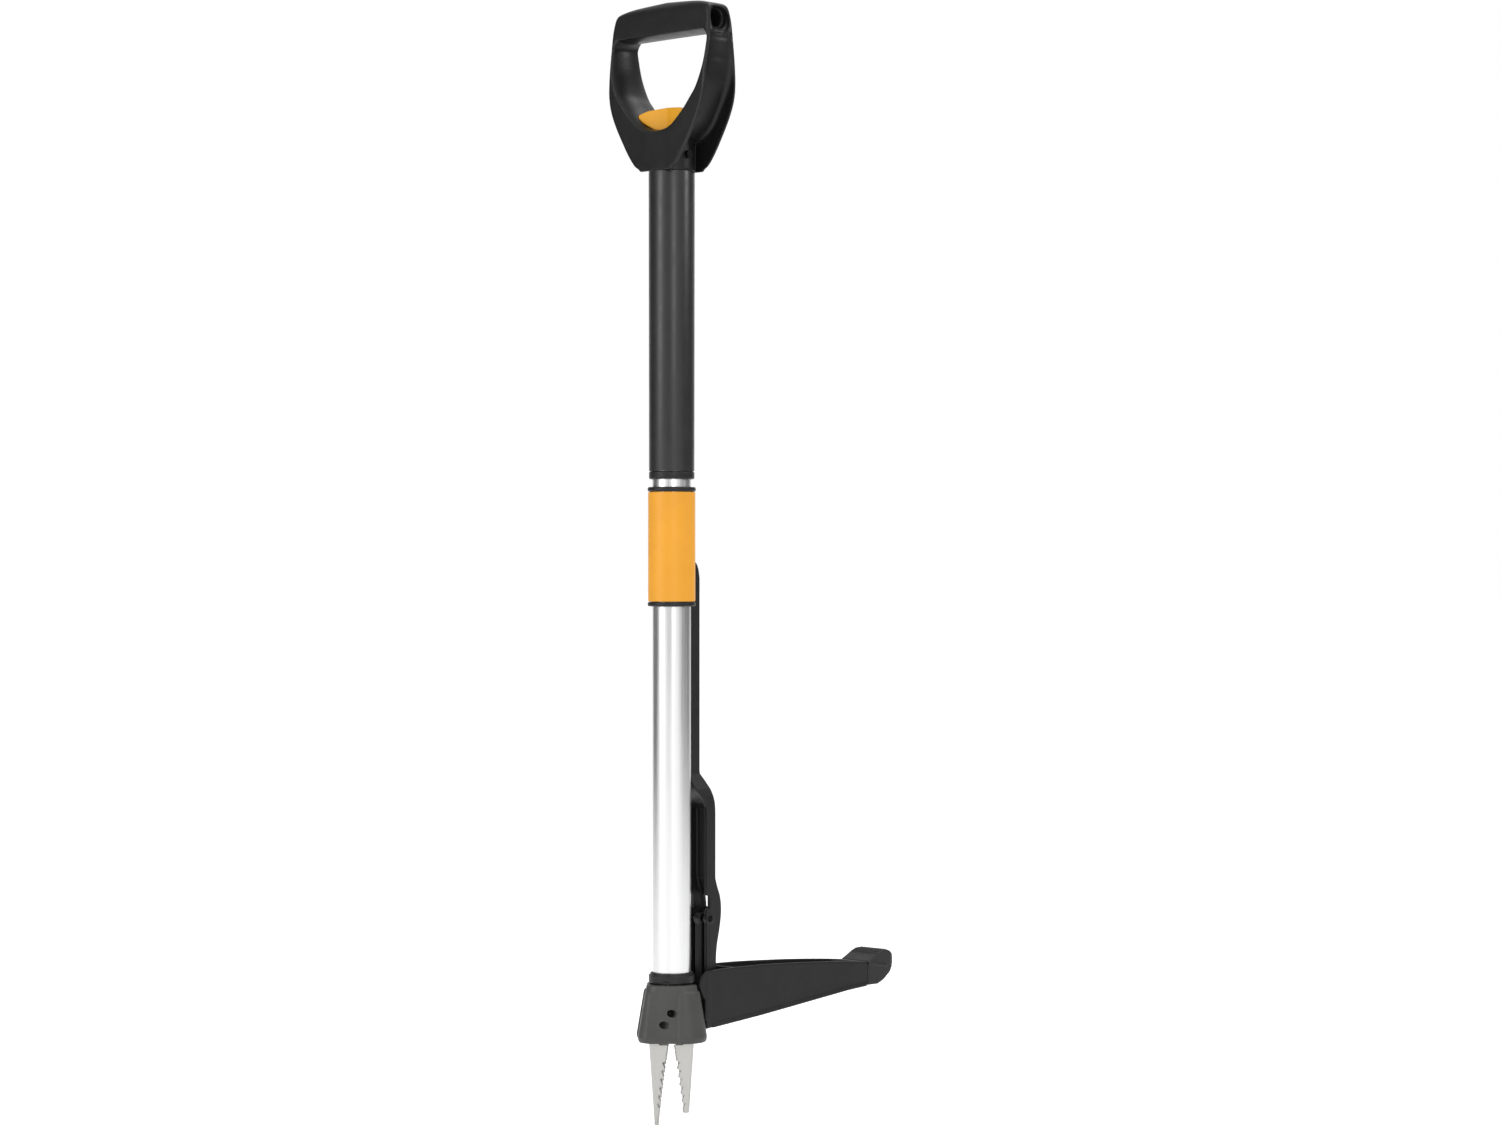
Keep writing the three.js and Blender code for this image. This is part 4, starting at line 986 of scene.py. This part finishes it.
def add_light(name, right, back, up, size, energy, aim_up=0.45):
    """A soft box placed by its distances from the tool, as the camera sees it."""
    data = bpy.data.lights.new(name, "AREA")
    data.shape = "RECTANGLE"
    data.size, data.size_y = size
    data.energy = energy
    light = bpy.data.objects.new(name, data)
    light.location = RIGHT * right + VIEW * back + Vector((0, 0, up))
    target = Vector((0, 0, aim_up))
    light.rotation_mode = "QUATERNION"
    light.rotation_quaternion = (target - light.location).to_track_quat("-Z", "Y")
    bpy.context.scene.collection.objects.link(light)


def add_flag(name, right, back, width, height, grey, across=False):
    """A dark card beside the tool that only reflections see, as photographers use on metal."""
    material, _ = new_material(name + "_card", (grey, grey, grey), 0.9)
    mesh = bpy.data.meshes.new(name)
    side = (RIGHT if across else VIEW) * (width / 2)
    up = Vector((0, 0, height / 2))
    middle = RIGHT * right + VIEW * back + Vector((0, 0, CARD_MIDDLE))
    corners = [middle - side - up, middle + side - up, middle + side + up, middle - side + up]
    mesh.from_pydata(corners, [], [(0, 1, 2, 3)])
    mesh.materials.append(material)
    card = placed(name, mesh)
    card.visible_camera = False
    card.visible_diffuse = False
    card.visible_shadow = False


def build_stage():
    material, shader = new_material("floor_white", (0.93, 0.93, 0.93), 0.85, specular=0.1)
    tinted(material, shader, noise(material, 3), (0.925,) * 3, (0.935,) * 3)
    shader.inputs["Emission Color"].default_value = (1, 1, 1, 1)
    shader.inputs["Emission Strength"].default_value = 0.14
    mesh = bpy.data.meshes.new("floor")
    signs = ((-1, -1), (1, -1), (1, 1), (-1, 1))
    corners = [(a * FLOOR_REACH, b * FLOOR_REACH, cad_box[0].z) for a, b in signs]
    mesh.from_pydata(corners, [], [(0, 1, 2, 3)])
    mesh.materials.append(material)
    placed("floor", mesh)
    world = bpy.data.worlds.new("studio")
    world.use_nodes = True
    world.node_tree.nodes["Background"].inputs["Color"].default_value = (1, 1, 1, 1)
    world.node_tree.nodes["Background"].inputs["Strength"].default_value = 1.0
    bpy.context.scene.world = world
    bpy.context.scene.view_settings.view_transform = "Standard"
    add_light("key", right=-2.1, back=-1.25, up=1.2, size=(0.7, 1.8), energy=25)
    add_light("front", right=0.55, back=-2.6, up=1.3, size=(0.45, 1.6), energy=18)
    add_light("arms", right=2.2, back=-0.3, up=1.42, size=(0.35, 0.2), energy=12, aim_up=0.87)
    add_light("top", right=0.6, back=0.2, up=2.6, size=(1.6, 1.2), energy=22)
    add_flag("flag_left", right=-1.7, back=0.9, width=2.2, height=4, grey=0.05)
    add_flag("flag_right", right=1.9, back=0.4, width=3.4, height=4, grey=0.12)
    add_flag("flag_front", right=-0.6, back=-2.9, width=1.2, height=4, grey=0.3, across=True)


build_handle()
build_shaft()
build_head()
build_pedal()
finish_kept_nodes()
build_stage()
build_camera()
